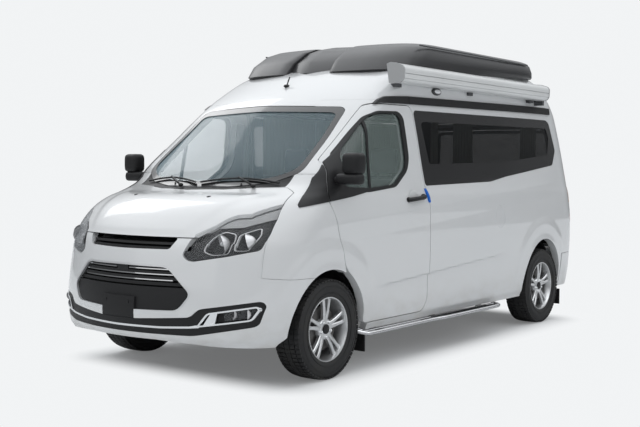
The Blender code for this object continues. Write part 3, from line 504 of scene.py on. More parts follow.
def woven(name, warp, weft, pitch, depth):
    """Two thread colours crossed at a pitch in metres."""
    cloth = Finish(name, warp, 0.85, Sheen_Weight=0.3, Sheen_Roughness=0.5)
    across = (cloth.axis(0) + cloth.axis(1)) * (2 * math.pi / pitch)
    along = (cloth.axis(2) - cloth.axis(1) * 0.5) * (2 * math.pi / pitch)
    weave = across.maths("SINE", across) * along.maths("SINE", along) * 0.5 + 0.5
    wear = cloth.noise(6.0, 3.0)
    cloth.feed("Base Color", cloth.mix(weave * 0.7 + wear * 0.3, (*warp, 1), (*weft, 1)))
    cloth.feed("Roughness", 0.8 + wear * 0.15)
    cloth.bump(weave + wear * 0.4, 0.5, depth)
    return cloth.material


FINISH["tyre rubber"] = rubber()
for name, row in {
        "seat cloth": ((0.06, 0.06, 0.065), (0.13, 0.13, 0.14), 0.005, 0.0006),
        "curtain cloth": ((0.50, 0.52, 0.46), (0.62, 0.63, 0.56), 0.004, 0.0004)}.items():
    FINISH[name] = woven(name, *row)
print(len(FINISH), "finishes in all")

# %% [markdown]
# ## One smooth body
# A pressed body is designed as sections. The table holds the outline of the van
# at a few heights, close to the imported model's; a curve through each column gives
# as many sections as a smooth skin needs. The curve never overshoots its points,
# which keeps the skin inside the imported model's box.

# %% The body's sections
# height, nose ahead of the front axle, half width, front corner's width and length,
# tail behind the rear axle, bow of the nose (how fast it falls back from the middle)
SECTIONS = np.array([
    (0.22, 0.900, 0.930, 0.30, 0.34, 0.88, 0.36),
    (0.30, 0.975, 0.949, 0.30, 0.34, 0.905, 0.36),
    (0.36, 1.012, 0.960, 0.30, 0.35, 0.912, 0.36),
    (0.50, 1.0235, 0.977, 0.30, 0.36, 0.92, 0.36),
    (0.80, 0.985, 0.992, 0.30, 0.36, 0.92, 0.36),
    (0.93, 0.955, 0.992, 0.30, 0.36, 0.92, 0.36),
    (1.00, 0.915, 0.989, 0.30, 0.38, 0.92, 0.35),
    (1.08, 0.842, 0.984, 0.29, 0.40, 0.91, 0.34),
    (1.16, 0.735, 0.975, 0.28, 0.42, 0.91, 0.33),
    (1.22, 0.590, 0.967, 0.27, 0.41, 0.90, 0.31),
    (1.265, 0.400, 0.957, 0.22, 0.34, 0.89, 0.28),
    (1.31, 0.270, 0.948, 0.16, 0.22, 0.89, 0.27),
    (1.42, 0.150, 0.930, 0.12, 0.15, 0.88, 0.27),
    (1.66, -0.160, 0.897, 0.12, 0.15, 0.84, 0.27),
    (1.925, -0.500, 0.858, 0.13, 0.16, 0.78, 0.27),
    (2.05, -0.705, 0.845, 0.14, 0.18, 0.69, 0.27),
    (2.16, -0.920, 0.820, 0.14, 0.18, 0.58, 0.27),
    (2.23, -1.120, 0.790, 0.14, 0.18, 0.49, 0.27),
    (2.27, -1.300, 0.760, 0.14, 0.18, 0.42, 0.27)])
FOLD_Z = 0.95          # above this an inner skin is lowered as well as moved in
TAIL_CORNER = (0.24, 0.34)
TAIL_BOW = 0.07
TAIL_TAPER = 0.045
TAPER_START = WHEELBASE - 0.7


def section_at(heights):
    """Each column at any height, by a monotone cubic through the table."""
    z = SECTIONS[:, 0]
    gap = np.diff(z)
    columns = []
    for column in SECTIONS[:, 1:].T:
        slope = np.diff(column) / gap
        tangent = np.concatenate([[slope[0]], np.zeros(len(z) - 2), [slope[-1]]])
        same = slope[:-1] * slope[1:] > 0
        w1 = 2 * gap[1:] + gap[:-1]
        w2 = gap[1:] + 2 * gap[:-1]
        with np.errstate(divide="ignore", invalid="ignore"):
            mean = (w1 + w2) / (w1 / slope[:-1] + w2 / slope[1:])
        tangent[1:-1] = np.where(same, mean, 0.0)
        k = np.clip(np.searchsorted(z, heights, side="right") - 1, 0, len(z) - 2)
        t = (heights - z[k]) / gap[k]
        columns.append((2 * t**3 - 3 * t**2 + 1) * column[k]
                       + (t**3 - 2 * t**2 + t) * gap[k] * tangent[k]
                       + (3 * t**2 - 2 * t**3) * column[k + 1]
                       + (t**3 - t**2) * gap[k] * tangent[k + 1])
    return np.array(columns).T


def rounded(start, corner, end, steps):
    """A quadratic curve that turns a corner, without its last point."""
    t = np.linspace(0, 1, steps)[:-1, None]
    start, corner, end = (np.array(p) for p in (start, corner, end))
    return (1 - t) ** 2 * start + 2 * t * (1 - t) * corner + t * t * end


def half_ring(section, wall=0.0, fine=True):
    """The left half of one section, from the middle of the nose to that of the tail."""
    nose, half, corner_x, corner_y, tail, bow = section
    steps = np.array((30, 26, 190, 20, 12)) // (1 if fine else 3)
    front = -nose + wall
    half = half - wall
    back = WHEELBASE + tail - wall
    x = np.linspace(0, half - corner_x, steps[0])[:-1]
    parts = [np.stack([x, front + bow * x * x], 1)]
    edge = front + bow * half * half
    inner = half - corner_x
    parts.append(rounded((inner, front + bow * inner**2), (half, edge), (half, edge + corner_y),
                         steps[1]))
    rear = half - TAIL_TAPER
    tail_x, tail_y = TAIL_CORNER
    tail_edge = back - TAIL_BOW * rear**2
    y = np.linspace(edge + corner_y, tail_edge - tail_y, steps[2])[:-1]
    lean = np.clip((y - TAPER_START) / (tail_edge - tail_y - TAPER_START), 0, 1)
    parts.append(np.stack([half - TAIL_TAPER * lean**1.4, y], 1))
    inner = rear - tail_x
    parts.append(rounded((rear, tail_edge - tail_y), (rear, tail_edge),
                         (inner, back - TAIL_BOW * inner**2), steps[3]))
    x = np.linspace(inner, 0, steps[4])
    parts.append(np.stack([x, back - TAIL_BOW * x * x], 1))
    return np.concatenate(parts)


def ring_at(z):
    """Half of the outer section at one height."""
    return half_ring(section_at(np.array([z]))[0])


print(len(SECTIONS), "sections; the nose at 1.19 m:", -ring_at(1.19)[0, 1].round(3))

# %% [markdown]
# ### Creases and flares
# Sheet steel is stiffened by its creases, and they are what makes a white van
# readable. Each is a small height added to the skin: a tent for a shoulder, a
# saw tooth for the scoop above the sill, a bell round each wheel opening.

# %% The pressed forms
ARCH_RADIUS = 0.410
ARCH_SHIFT = -0.035
FRONT_ARCH = (ARCH_SHIFT, TYRE_RADIUS)
REAR_ARCH = (WHEELBASE, TYRE_RADIUS + 0.03)


def ease(value, low, high):
    t = np.clip((value - low) / (high - low), 0, 1)
    return t * t * (3 - 2 * t)


def pressed(x, y, z):
    """How far the side skin stands out, in metres, at points of the body."""
    out = np.zeros_like(x)
    for centre_y, centre_z in (FRONT_ARCH, REAR_ARCH):
        reach = np.hypot(y - centre_y, z - centre_z)
        out += 0.007 * np.exp(-((reach - ARCH_RADIUS) / 0.030) ** 2)
        upper = ease(z, centre_z - 0.05, centre_z + 0.25)
        out += 0.011 * (1 - ease(reach, 0.540, 0.630)) * upper
    shoulder = 1.045 + 0.071 * y
    along = ease(y, -0.3, 0.1) * (1 - ease(y, 3.3, 3.8))
    out += 0.009 * along * np.clip(1 - np.abs(z - shoulder) / 0.13, 0, 1)
    scoop = 0.593 + 0.058 * (y - 0.61)
    below = scoop - z
    along = ease(y, 0.45, 0.75) * (1 - ease(y, 2.25, 2.7))
    out -= 0.014 * along * ease(below, 0.0, 0.012) * (1 - ease(below, 0.03, 0.24))
    out -= 0.010 * ease(np.abs(x), 0.90, 0.93) * (1 - ease(z, 0.30, 0.345))
    return out


def bonnet_rise(x, z):
    """The raised middle of the bonnet, between two creases that spread rearwards."""
    crease = 0.43 + 0.72 * (z - 0.985)
    inside = ease(crease - np.abs(x), -0.035, 0.03)
    return 0.009 * inside * ease(z, 0.99, 1.03) * (1 - ease(z, 1.235, 1.262))

# %% [markdown]
# The same sections, moved in by a depth, give an inner skin. A panel is what lies
# between two depths, so one function makes sheet steel, glass and linings alike.

# %% The skin at any depth
SKINS = {}


def skin_at(depth=0.0, fine=True):
    """The whole body as a closed mesh, moved in by a depth. Copies come from a store."""
    key = (round(depth, 5), fine)
    if key not in SKINS:
        heights = np.unique(np.concatenate([
            np.linspace(0.22, 0.90, 56), np.linspace(0.90, 1.34, 64),
            np.linspace(1.34, 1.92, 42), np.linspace(1.92, 2.27, 30)]).round(5))
        if not fine:
            heights = heights[::3]
            heights[-1] = SECTIONS[-1, 0]
        half = np.stack([half_ring(s, depth, fine) for s in section_at(heights)])
        count = half.shape[1]
        x, y = half[..., 0], half[..., 1]
        z = np.repeat(heights[:, None], count, 1)
        along = np.gradient(half, axis=1)
        normal = np.stack([along[..., 1], -along[..., 0]], -1)
        normal /= np.maximum(np.linalg.norm(normal, axis=-1, keepdims=True), 1e-9)
        out = pressed(x, y, z)
        rise = bonnet_rise(x, z)
        x, y = x + normal[..., 0] * out, y + normal[..., 1] * out
        x[:, 0] = x[:, -1] = 0.0
        z = z + rise - np.where(heights[:, None] > FOLD_Z, depth, 0.0)
        if depth > 0:
            z[0] -= 0.1
        left = np.stack([x, y, z], -1)
        right = left[:, -2:0:-1] * (-1, 1, 1)
        ring = np.concatenate([left, right], 1)
        levels, count = ring.shape[:2]
        level = np.arange(levels - 1)[:, None] * count
        low = (level + np.arange(count)).ravel()
        nxt = (level + (np.arange(count) + 1) % count).ravel()
        faces = [tuple(f) for f in np.stack([low, nxt, nxt + count, low + count], 1)]
        faces.append(tuple(range(count))[::-1])
        faces.append(tuple((levels - 1) * count + i for i in range(count)))
        store = face_out(mesh_object(ring.reshape(-1, 3), faces))
        SKINS[key] = store.data
        drop(store)
    return linked(SKINS[key].copy())


def panel(area, outer, inner, *openings):
    """The body between two depths inside an area, less its openings."""
    made = common(skin_at(outer), area)
    return cut(made, skin_at(inner, inner - outer < 0.02), *openings)


def nose_y(x, z):
    """Where the front of the body is, for a place in the front view."""
    half = ring_at(z)
    ahead = half[:np.argmax(half[:, 0])]
    return float(np.interp(abs(x), ahead[:, 0], ahead[:, 1]))


def tail_y(x, z):
    """Where the tail's skin is, for a place seen from behind."""
    behind = ring_at(z)[-32:][::-1]
    return float(np.interp(abs(x), behind[:, 0], behind[:, 1]))


def side_x(y, z):
    """Where the side of the body is, for a place in the side view."""
    half = ring_at(z)
    widest = np.argmax(half[:, 0])
    side = half[widest // 2:-16]
    x = float(np.interp(y, side[:, 1], side[:, 0]))
    return x + float(pressed(np.array([x]), np.array([y]), np.array([z]))[0])


body = skin_at()
print(len(body.data.polygons), "faces; the side at the door handle:", round(side_x(1.1, 1.2), 3))
drop(body)

# %% [markdown]
# ### Outlines
# Side views give (y, z), front views (x, z), and plan views (x, y), always for
# the left half. `soften` rounds the corners, as a press tool must.

# %% Outline helpers
def grow(outline, distance):
    """The outline moved out by a distance."""
    area = sum(x0 * y1 - x1 * y0
               for (x0, y0), (x1, y1) in zip(outline, outline[1:] + outline[:1]))
    way = 1 if area > 0 else -1
    result = []
    for i, point in enumerate(outline):
        here = Vector(point)
        before = (here - Vector(outline[i - 1])).normalized()
        after = (Vector(outline[(i + 1) % len(outline)]) - here).normalized()
        n0 = Vector((before.y, -before.x)) * way
        n1 = Vector((after.y, -after.x)) * way
        spread = max(0.35, 1 + n0.dot(n1))
        result.append(tuple(here + (n0 + n1) * distance / spread))
    return result


def both(half, distance=0.0):
    """A half outline, grown, and closed by its mirror image."""
    outline = half + [(-a, b) for a, b in reversed(half) if a > 1e-9]
    return grow(outline, distance) if distance else outline


def soften(outline, radius, steps=5):
    """Round every corner by a curve that starts a radius before it."""
    result = []
    for i, point in enumerate(outline):
        here, before = Vector(point), Vector(outline[i - 1])
        after = Vector(outline[(i + 1) % len(outline)])
        reach = min(radius, 0.45 * (before - here).length, 0.45 * (after - here).length)
        start = here + (before - here).normalized() * reach
        end = here + (after - here).normalized() * reach
        for k in range(steps + 1):
            t = k / steps
            result.append(tuple((1 - t) ** 2 * start + 2 * t * (1 - t) * here + t * t * end))
    return result


def arc(cx, cy, radius, start, end, steps):
    return [(cx + radius * math.cos(a), cy + radius * math.sin(a))
            for a in np.radians(np.linspace(start, end, steps + 1))]


def mirrored(outline):
    return [(-a, b) for a, b in reversed(outline)]


WIDE = 1.3             # beyond either side
AHEAD = -1.3           # before the nose
BEHIND = 5.0           # behind the tail
LINE = 0.0025          # half the gap of a shut line between panels that stay
DOOR_GAP = 0.0065
SILL_Z = 0.340
GUTTER_Z = 1.930
PILLAR_Z = 1.388
DOOR_INNER_X = 0.786
SIDE_INNER_X = 0.450


def side_area(side, outline, inboard=0.0):
    """A (y, z) outline pushed through one side of the body."""
    low, high = (inboard, WIDE) if side == "left" else (-WIDE, -inboard)
    return prism("x", outline, low, high)


def front_area(outline, far, side="left"):
    """An (x, z) outline pushed back from before the nose; turned over on the right."""
    return prism("y", outline if side == "left" else mirrored(outline), AHEAD, far)


def rear_area(outline, near):
    """An (x, z) outline pushed from a place at the rear to behind the tail."""
    return prism("y", outline, WHEELBASE + near, BEHIND)

# %% [markdown]
# The tables below are the van's own pattern pieces, in metres from the front axle
# and the ground. A panel and the opening it fills share one outline.

# %% The outlines of panels and panes
DOOR = soften([
    (0.385, SILL_Z), (0.375, 0.45), (0.325, 0.56), (0.235, 0.665), (0.131, 0.745),
    (0.110, 0.86), (0.056, 1.01), (0.030, 1.12), (-0.015, 1.205), (0.055, 1.385),
    (0.098, 1.490), (0.293, 1.652), (0.479, 1.796), (0.640, 1.895), (1.120, 1.900),
    (1.165, 1.860), (1.215, 1.320), (1.250, 1.180), (1.240, 0.420), (1.185, SILL_Z)], 0.06)
DOOR_WINDOW = soften([
    (0.165, 1.400), (0.155, 1.510), (0.259, 1.586), (0.415, 1.702), (0.547, 1.796),
    (0.690, 1.842), (0.968, 1.850), (1.028, 1.808), (1.043, 1.504), (1.001, 1.413),
    (0.821, 1.295), (0.470, 1.263), (0.180, 1.268)], 0.04)
SLIDING_DOOR = soften([
    (1.260, SILL_Z), (1.260, 1.180), (1.225, 1.320), (1.176, 1.860), (1.176, 1.900),
    (2.280, 1.900), (2.280, 1.290), (2.320, 1.180), (2.320, 0.420), (2.280, SILL_Z)], 0.03)
SLIDING_WINDOW = soften([
    (1.330, 1.320), (1.250, 1.840), (1.280, 1.865), (2.210, 1.875), (2.210, 1.330)], 0.04)
LEFT_WINDOW = soften([
    (1.234, 1.295), (1.182, 1.850), (1.205, 1.872), (3.640, 1.892), (3.700, 1.860),
    (3.770, 1.600), (3.660, 1.463), (2.600, 1.360), (2.300, 1.318)], 0.03)
RIGHT_WINDOW = soften([
    (2.380, 1.325), (2.380, 1.880), (3.640, 1.892), (3.700, 1.860), (3.770, 1.600),
    (3.660, 1.463), (2.600, 1.360)], 0.03)
BODY_SIDE = [
    (0.460, 0.285), (0.460, 0.400), (0.450, PILLAR_Z), (-0.200, PILLAR_Z),
    (-0.200, GUTTER_Z - 0.0004), (4.40, GUTTER_Z - 0.0004), (4.40, 0.62), (3.74, 0.62),
    (3.74, 0.300), (3.30, 0.300), (2.88, 0.285)]
WING = [
    (-0.90, 0.705), (-0.27, 0.690), (-0.10, 0.50), (0.125, 0.62), (0.125, 0.745),
    (0.104, 0.86), (0.050, 1.01), (0.024, 1.12), (-0.022, 1.205),
    (0.038, PILLAR_Z - LINE), (-0.90, PILLAR_Z - LINE)]
HEADLAMP = soften([
    (0.465, 0.874), (0.500, 0.846), (0.536, 0.838), (0.723, 0.871), (0.881, 0.910),
    (0.897, 1.005), (0.890, 1.103), (0.860, 1.200), (0.700, 1.190), (0.560, 1.120),
    (0.486, 0.935)], 0.02)
SCREEN = [
    (0.0, 1.290), (0.30, 1.295), (0.58, 1.325), (0.745, 1.400), (0.735, 1.620),
    (0.705, 1.850), (0.66, 1.875), (0.0, 1.895)]
BONNET = [
    (0.0, -1.10), (0.505, -1.10), (0.513, -0.820), (0.557, -0.783), (0.609, -0.732),
    (0.652, -0.670), (0.699, -0.620), (0.762, -0.571), (0.813, -0.469), (0.857, -0.368),
    (0.810, -0.205), (0.725, -0.165), (0.58, -0.222), (0.30, -0.330), (0.0, -0.375)]
BONNET_LOW_Z = 0.985
COWL = [
    (0.0, -0.365), (0.30, -0.320), (0.58, -0.213), (0.70, -0.16), (0.70, 0.12), (0.0, 0.12)]
BUMPER = [
    (0.0, 0.334), (0.30, 0.334), (0.52, 0.319), (0.70, 0.302), (0.88, 0.288), (1.10, 0.272),
    (1.10, 0.690), (0.895, 0.735), (0.893, 0.99), (0.0, 0.99)]
UPPER_GRILLE = [(0.0, 0.904), (0.370, 0.908), (0.412, 0.980), (0.0, 0.980)]
LOWER_GRILLE = [
    (0.0, 0.503), (0.475, 0.515), (0.562, 0.634), (0.380, 0.808), (0.0, 0.812)]
BAND = [
    (0.0, 0.371), (0.560, 0.371), (0.892, 0.433), (0.922, 0.562), (0.905, 0.592),
    (0.600, 0.543), (0.551, 0.490), (0.155, 0.462), (0.0, 0.462)]
TAILGATE = [
    (0.0, 0.640), (0.800, 0.640), (0.810, 1.200), (0.765, 1.600), (0.700, 1.890), (0.0, 1.905)]
TAIL_WINDOW = [
    (0.0, 1.310), (0.640, 1.310), (0.690, 1.360), (0.640, 1.790), (0.600, 1.820), (0.0, 1.830)]
TAIL_LAMP = soften([(3.985, 0.920), (3.985, 1.520), (4.40, 1.520), (4.40, 0.920)], 0.03)


def front_arch():
    return arc(*FRONT_ARCH, ARCH_RADIUS, 0, 180, 48) + [
        (ARCH_SHIFT - ARCH_RADIUS - 0.17, 0.18), (ARCH_SHIFT + ARCH_RADIUS - 0.02, 0.18)]


def rear_arch(shift_in=0.0):
    radius = ARCH_RADIUS + shift_in
    return arc(*REAR_ARCH, radius, 0, 180, 48) + [
        (WHEELBASE - radius, 0.18), (WHEELBASE + radius, 0.18)]


def bonnet_cut(distance, low=0.9):
    return prism("z", both(BONNET, distance), low, 1.36)


def screen_cut(distance=0.0):
    return front_area(soften(both(SCREEN, distance), 0.05), 0.9)


def tailgate_gap():
    return rear_area(both(TAILGATE, DOOR_GAP), 0.4)

# %% [markdown]
# ### The painted panels
# Each side is one pressing in steel, with openings for the door, the glass and
# the wheel. Doors and lids take the same outline a few millimetres smaller.

# %% Body sides, doors and wings
SIDE_WALL, ROOF_WALL = 0.060, 0.040


def painted(obj, name, node, body="shell"):
    """Put a white panel and say how finely it is made."""
    put(obj, name, "white paint", body, [node])
    print(name, len(obj.data.polygons), "faces")


def body_side(side):
    openings = [
        side_area(side, grow(DOOR, DOOR_GAP), DOOR_INNER_X - DOOR_GAP),
        side_area(side, rear_arch()), screen_cut(), tailgate_gap(),
        side_area(side, grow(TAIL_LAMP, LINE), 0.7), bonnet_cut(DOOR_GAP)]
    if side == "left":
        openings.append(side_area(side, LEFT_WINDOW))
    else:
        openings.append(side_area(side, grow(SLIDING_DOOR, LINE)))
        openings.append(side_area(side, RIGHT_WINDOW))
    made = panel(side_area(side, BODY_SIDE, SIDE_INNER_X), 0.0, SIDE_WALL, *openings)
    painted(made, f"side_panel_{side}", f"body_side_{side}")


def door(side):
    made = panel(side_area(side, DOOR, DOOR_INNER_X), 0.0, SIDE_WALL,
                 side_area(side, DOOR_WINDOW))
    painted(made, f"door_panel_{side}", f"door_{side}", f"door_{side}")


def wing(side):
    openings = [
        side_area(side, front_arch()), front_area(both(BUMPER, LINE), 0.1),
        front_area(grow(HEADLAMP, LINE), -0.30, side), bonnet_cut(DOOR_GAP),
        prism("z", both(COWL), 1.0, 1.50), screen_cut()]
    made = panel(side_area(side, WING, SIDE_INNER_X), 0.0, SIDE_WALL, *openings)
    painted(made, f"wing_panel_{side}", f"front_wing_{side}")


for side in SIDES:
    body_side(side)
    door(side)
    wing(side)

# %% [markdown]
# The roof gets a collar that reaches down between the pillars. The bonnet is one
# thin sheet with a frame under it, and the tailgate has a recess for its plate.

# %% Roof, sliding door, bonnet and tailgate
PLATE_RECESS = 0.90    # how far behind the rear axle the plate's recess lies


def high_roof():
    made = panel(box(-WIDE, WIDE, 0.3, BEHIND, GUTTER_Z, 2.6), 0.0, ROOF_WALL)
    inner = SIDE_INNER_X - 0.0004
    for y0, y1, tool in ((0.3, 0.9, screen_cut(LINE)), (3.9, BEHIND, tailgate_gap())):
        join(made, panel(box(-inner, inner, y0, y1, 1.80, 1.94), 0.0, SIDE_WALL, tool))
    painted(made, "roof_panel", "high_roof")


def sliding_door():
    made = panel(side_area("right", SLIDING_DOOR, 0.5), 0.0, SIDE_WALL,
                 side_area("right", SLIDING_WINDOW))
    painted(made, "sliding_door_panel", "sliding_door")


def bonnet():
    made = panel(bonnet_cut(0.0, BONNET_LOW_Z), 0.0, 0.012)
    join(made, panel(prism("z", both(BONNET, -0.03), 1.01, 1.5), 0.002, 0.035))
    painted(made, "bonnet_panel", "bonnet", "bonnet")


def tailgate():
    recess = soften([(-0.27, 0.86), (0.27, 0.86), (0.27, 1.00), (-0.27, 1.00)], 0.02)
    made = panel(rear_area(both(TAILGATE), 0.5), 0.0, SIDE_WALL,
                 rear_area(soften(both(TAIL_WINDOW), 0.05), 0.4),
                 rear_area(recess, PLATE_RECESS))
    painted(made, "tailgate_panel", "tailgate", "tailgate")


high_roof()
sliding_door()
bonnet()
tailgate()

# %% [markdown]
# ## Front bumper and grille
# The bumper is one moulding. Thin rings, strips and bars sit in its openings,
# each cut from the same skin at its own depth, so they all follow its bow.

# %% Bumper and black band
PLATE_HALF = 0.150
FOG = soften([(0.588, 0.428), (0.873, 0.470), (0.905, 0.540), (0.893, 0.562), (0.656, 0.521)],
             0.02)
FOG_LAMP = soften([(0.742, 0.470), (0.867, 0.490), (0.885, 0.548), (0.740, 0.532)], 0.012)
LOWER_RING = soften(both(LOWER_GRILLE), 0.05)


def front_piece(outline, outer, inner, *openings, far=-0.5, side="left"):
    """A piece of the front of the skin inside an (x, z) outline."""
    return panel(front_area(outline, far, side), outer, inner, *openings)


def slab(piece, low, high, half=1.0):
    """What a piece of the front has between two heights."""
    return common(piece, box(-half, half, AHEAD, -0.5, low, high))


def front_bumper():
    openings = [
        front_area(soften(both(UPPER_GRILLE), 0.02), -0.6),
        front_area(LOWER_RING, -0.6), front_area(soften(both(BAND), 0.03), -0.55),
        *[front_area(grow(HEADLAMP, LINE), -0.30, side) for side in SIDES],
        prism("z", both(BONNET, DOOR_GAP), BONNET_LOW_Z - DOOR_GAP, 1.4),
        prism("x", front_arch(), -WIDE, WIDE),
        box(-PLATE_HALF, PLATE_HALF, AHEAD, -0.6, 0.455, 0.54)]
    made = front_piece(both(BUMPER), 0.0, 0.030, *openings, far=0.1)
    put(made, "front_bumper_cover", "white paint", nodes=["front_bumper"])
    openings = [front_area(FOG, -0.55, side) for side in SIDES]
    band = front_piece(grow(soften(both(BAND), 0.03), -0.002), 0.004, 0.03, *openings, far=-0.55)
    pockets = [front_piece(grow(FOG, 0.01), 0.040, 0.055, far=-0.55, side=side)
               for side in SIDES]
    put(merged([band] + pockets), "bumper_band_black", "black plastic",
        nodes=["bumper_band"])


front_bumper()

# %% [markdown]
# ### Grille and bright strips
# The grille is a dark wall with slats before it. Three slats carry a bright edge,
# the first with a gap in its middle where a badge would be.

# %% Grille
SLATS = ((0.790, 0.011), (0.757, 0.010), (0.722, 0.010), (0.688, 0.010))
BRIGHT_EDGES = ((0.777, 0.06), (0.744, 0.0), (0.709, 0.0))       # height, half gap


def grille_bars():
    lower, upper = grow(LOWER_RING, -0.006), soften(both(UPPER_GRILLE, -0.003), 0.02)
    wall = [(0.0, 0.50), (0.60, 0.50), (0.60, 0.80), (0.47, 0.84), (0.47, 0.985), (0.0, 0.985)]
    plate = [(0.0, 0.463), (PLATE_HALF, 0.463), (PLATE_HALF, 0.60), (0.0, 0.60)]
    dark = [front_piece(both(wall), 0.085, 0.095)]
    dark += [slab(front_piece(lower, 0.022, 0.085), z - thick, z + thick) for z, thick in SLATS]
    dark += [slab(front_piece(lower, 0.016, 0.04), 0.50, 0.668),
             slab(front_piece(upper, 0.030, 0.085), 0.934, 0.948),
             slab(front_piece(upper, 0.012, 0.06), 0.905, 0.921),
             front_piece(soften(both(plate), 0.008), 0.0, 0.03),
             box(-0.05, 0.05, -0.97, -0.90, 0.755, 0.80)]
    for x, z in ((-0.115, 0.563), (0.095, 0.563)):
        knob = turn([(0.0, 0.012), (0.012, 0.012), (0.014, 0.009), (0.014, 0.0), (0.0, 0.0)],
                    16, "y")
        dark.append(moved(knob, shift(x, nose_y(x, z) - 0.003, z)))
    put(merged(dark), "grille_dark", "black plastic", nodes=["grille"])
    bright = []
    for z, gap in BRIGHT_EDGES:
        edge = slab(front_piece(grow(lower, -0.012), 0.018, 0.030), z, z + 0.0065, 0.41)
        if gap:
            cut(edge, box(-gap, gap, AHEAD, -0.4, z - 0.1, z + 0.1))
        bright.append(edge)
    put(merged(bright), "grille_bright_edges", "chrome")
    ring = front_piece(LOWER_RING, 0.0, 0.022, front_area(grow(LOWER_RING, -0.013), 0.3),
                       box(-PLATE_HALF, PLATE_HALF, AHEAD, 0, 0.4, 0.56))
    put(ring, "grille_ring", "silver paint")
    lip = front_piece(both([(0.0, 0.484), (0.472, 0.496), (0.484, 0.512), (0.0, 0.500)]),
                      -0.001, 0.01, box(-PLATE_HALF, PLATE_HALF, AHEAD, 0, 0.4, 0.56))
    put(lip, "grille_lip", "silver paint")


grille_bars()

# %% [markdown]
# A reflector is a bowl turned in few steps, so that its flat faces sparkle. The
# fog lamps have two, behind one lens inside a bright frame.

# %% Bright strips and fog lamps
def reflector(radius, depth, steps):
    """An open bowl that faces forward, faceted like a pressed reflector."""
    profile = [(0.0, radius)] + [
        (depth * (1 - (k / 6) ** 2), radius * k / 6) for k in (5, 4, 3, 2, 1)] + [(depth, 0.004)]
    return turn(profile, steps, "y", cap=True)


def chrome_strips():
    strip = both([(0.0, 0.406), (0.354, 0.410), (0.545, 0.420), (0.604, 0.426), (0.616, 0.442),
                  (0.588, 0.442), (0.545, 0.433), (0.354, 0.423), (0.0, 0.419)])
    blade = [(0.622, 0.440), (0.690, 0.449), (0.705, 0.520), (0.668, 0.514)]
    bright = [front_piece(strip, 0.0, 0.012)]
    for side in SIDES:
        inside = front_area(grow(FOG, -0.010), -0.5, side)
        bright += [front_piece(FOG, -0.003, 0.020, inside, side=side),
                   front_piece(blade, 0.012, 0.022, side=side)]
    put(merged(bright), "bumper_bright_strips", "chrome")
    for side, sign in SIDES.items():
        put(front_piece(FOG_LAMP, 0.010, 0.013, side=side), f"fog_lens_{side}", "clear lens")
        bowls = []
        for x, out in ((0.780, 38), (0.842, 50)):
            place = shift(sign * x, nose_y(x, 0.51) + 0.024, 0.511) @ rotate(-sign * out, "Z")
            bowls.append(moved(reflector(0.034, 0.022, 14), place))
        put(merged(bowls), f"fog_bowl_{side}", "reflector silver", smooth=5)


chrome_strips()
print("front end made")

# %% [markdown]
# ### Headlamps
# From the outside in: a clear lens that continues the skin, a dark bezel with two
# openings, a faceted bowl and a bulb behind each, and a black housing.

# %% Headlamps
CHAMBER_ROUND = soften([(0.582, 0.898), (0.603, 0.969), (0.635, 1.002), (0.672, 1.022),
                        (0.732, 1.008), (0.741, 0.970), (0.727, 0.884), (0.638, 0.876)], 0.02)
CHAMBER_WIDE = soften([(0.752, 0.905), (0.752, 1.003), (0.836, 1.045), (0.848, 1.000),
                       (0.820, 0.905)], 0.015)
LAMP_STRIP = soften([(0.610, 1.040), (0.755, 1.048), (0.885, 1.103), (0.862, 1.185),
                     (0.790, 1.150), (0.690, 1.105)], 0.01)
# x, z, the bowl's radius, and the degrees by which it is turned out
HEADLAMP_BOWLS = ((0.664, 0.946, 0.072, 37), (0.796, 0.962, 0.058, 56))


def headlamp(side):
    """One lamp, layer by layer from the housing out to the lens."""
    sign = SIDES[side]
    shape = grow(HEADLAMP, -0.002)

    def layer(outline, outer, inner, *holes):
        tools = [front_area(hole, -0.2, side) for hole in holes]
        return front_piece(outline, outer, inner, bonnet_cut(DOOR_GAP), *tools, far=-0.31,
                           side=side)

    housing = [layer(shape, 0.085, 0.100), layer(shape, 0.006, 0.085, grow(HEADLAMP, -0.006))]
    put(merged(housing), f"headlamp_housing_{side}", "black plastic")
    bezel = layer(shape, 0.022, 0.028, CHAMBER_ROUND, CHAMBER_WIDE)
    put(bezel, f"headlamp_bezel_{side}", "black plastic")
    put(layer(LAMP_STRIP, 0.014, 0.022), f"headlamp_strip_{side}", "cap grey")
    bright = [layer(grow(outline, 0.001), 0.019, 0.030, grow(outline, -0.002))
              for outline in (CHAMBER_ROUND, CHAMBER_WIDE)]
    bulbs = []
    for x, z, radius, turned_out in HEADLAMP_BOWLS:
        bowl = moved(reflector(radius, 0.055, 18), Matrix.Diagonal((1, 1, 0.92, 1)))
        bright.append(moved(bowl, shift(sign * x, nose_y(x, z) + 0.046, z)
                            @ rotate(-sign * turned_out, "Z") @ rotate(14, "X")))
        bulbs.append(ball((sign * x, nose_y(x, z) + 0.060, z), (0.016, 0.024, 0.016), 16))
    put(merged(bright), f"headlamp_bowls_{side}", "reflector silver", smooth=5)
    put(merged(bulbs), f"headlamp_bulbs_{side}", "lamp white")
    put(layer(shape, 0.0, 0.003), f"headlamp_lens_{side}", "clear lens",
        nodes=[f"headlamp_{side}"])


for side in SIDES:
    headlamp(side)
print("headlamps made")

# %% [markdown]
# ## Glass
# Every pane follows the body's skin. A printed black border hides the glue behind
# it, and on the long side windows that border is wide: what is left clear shows
# the curtains.

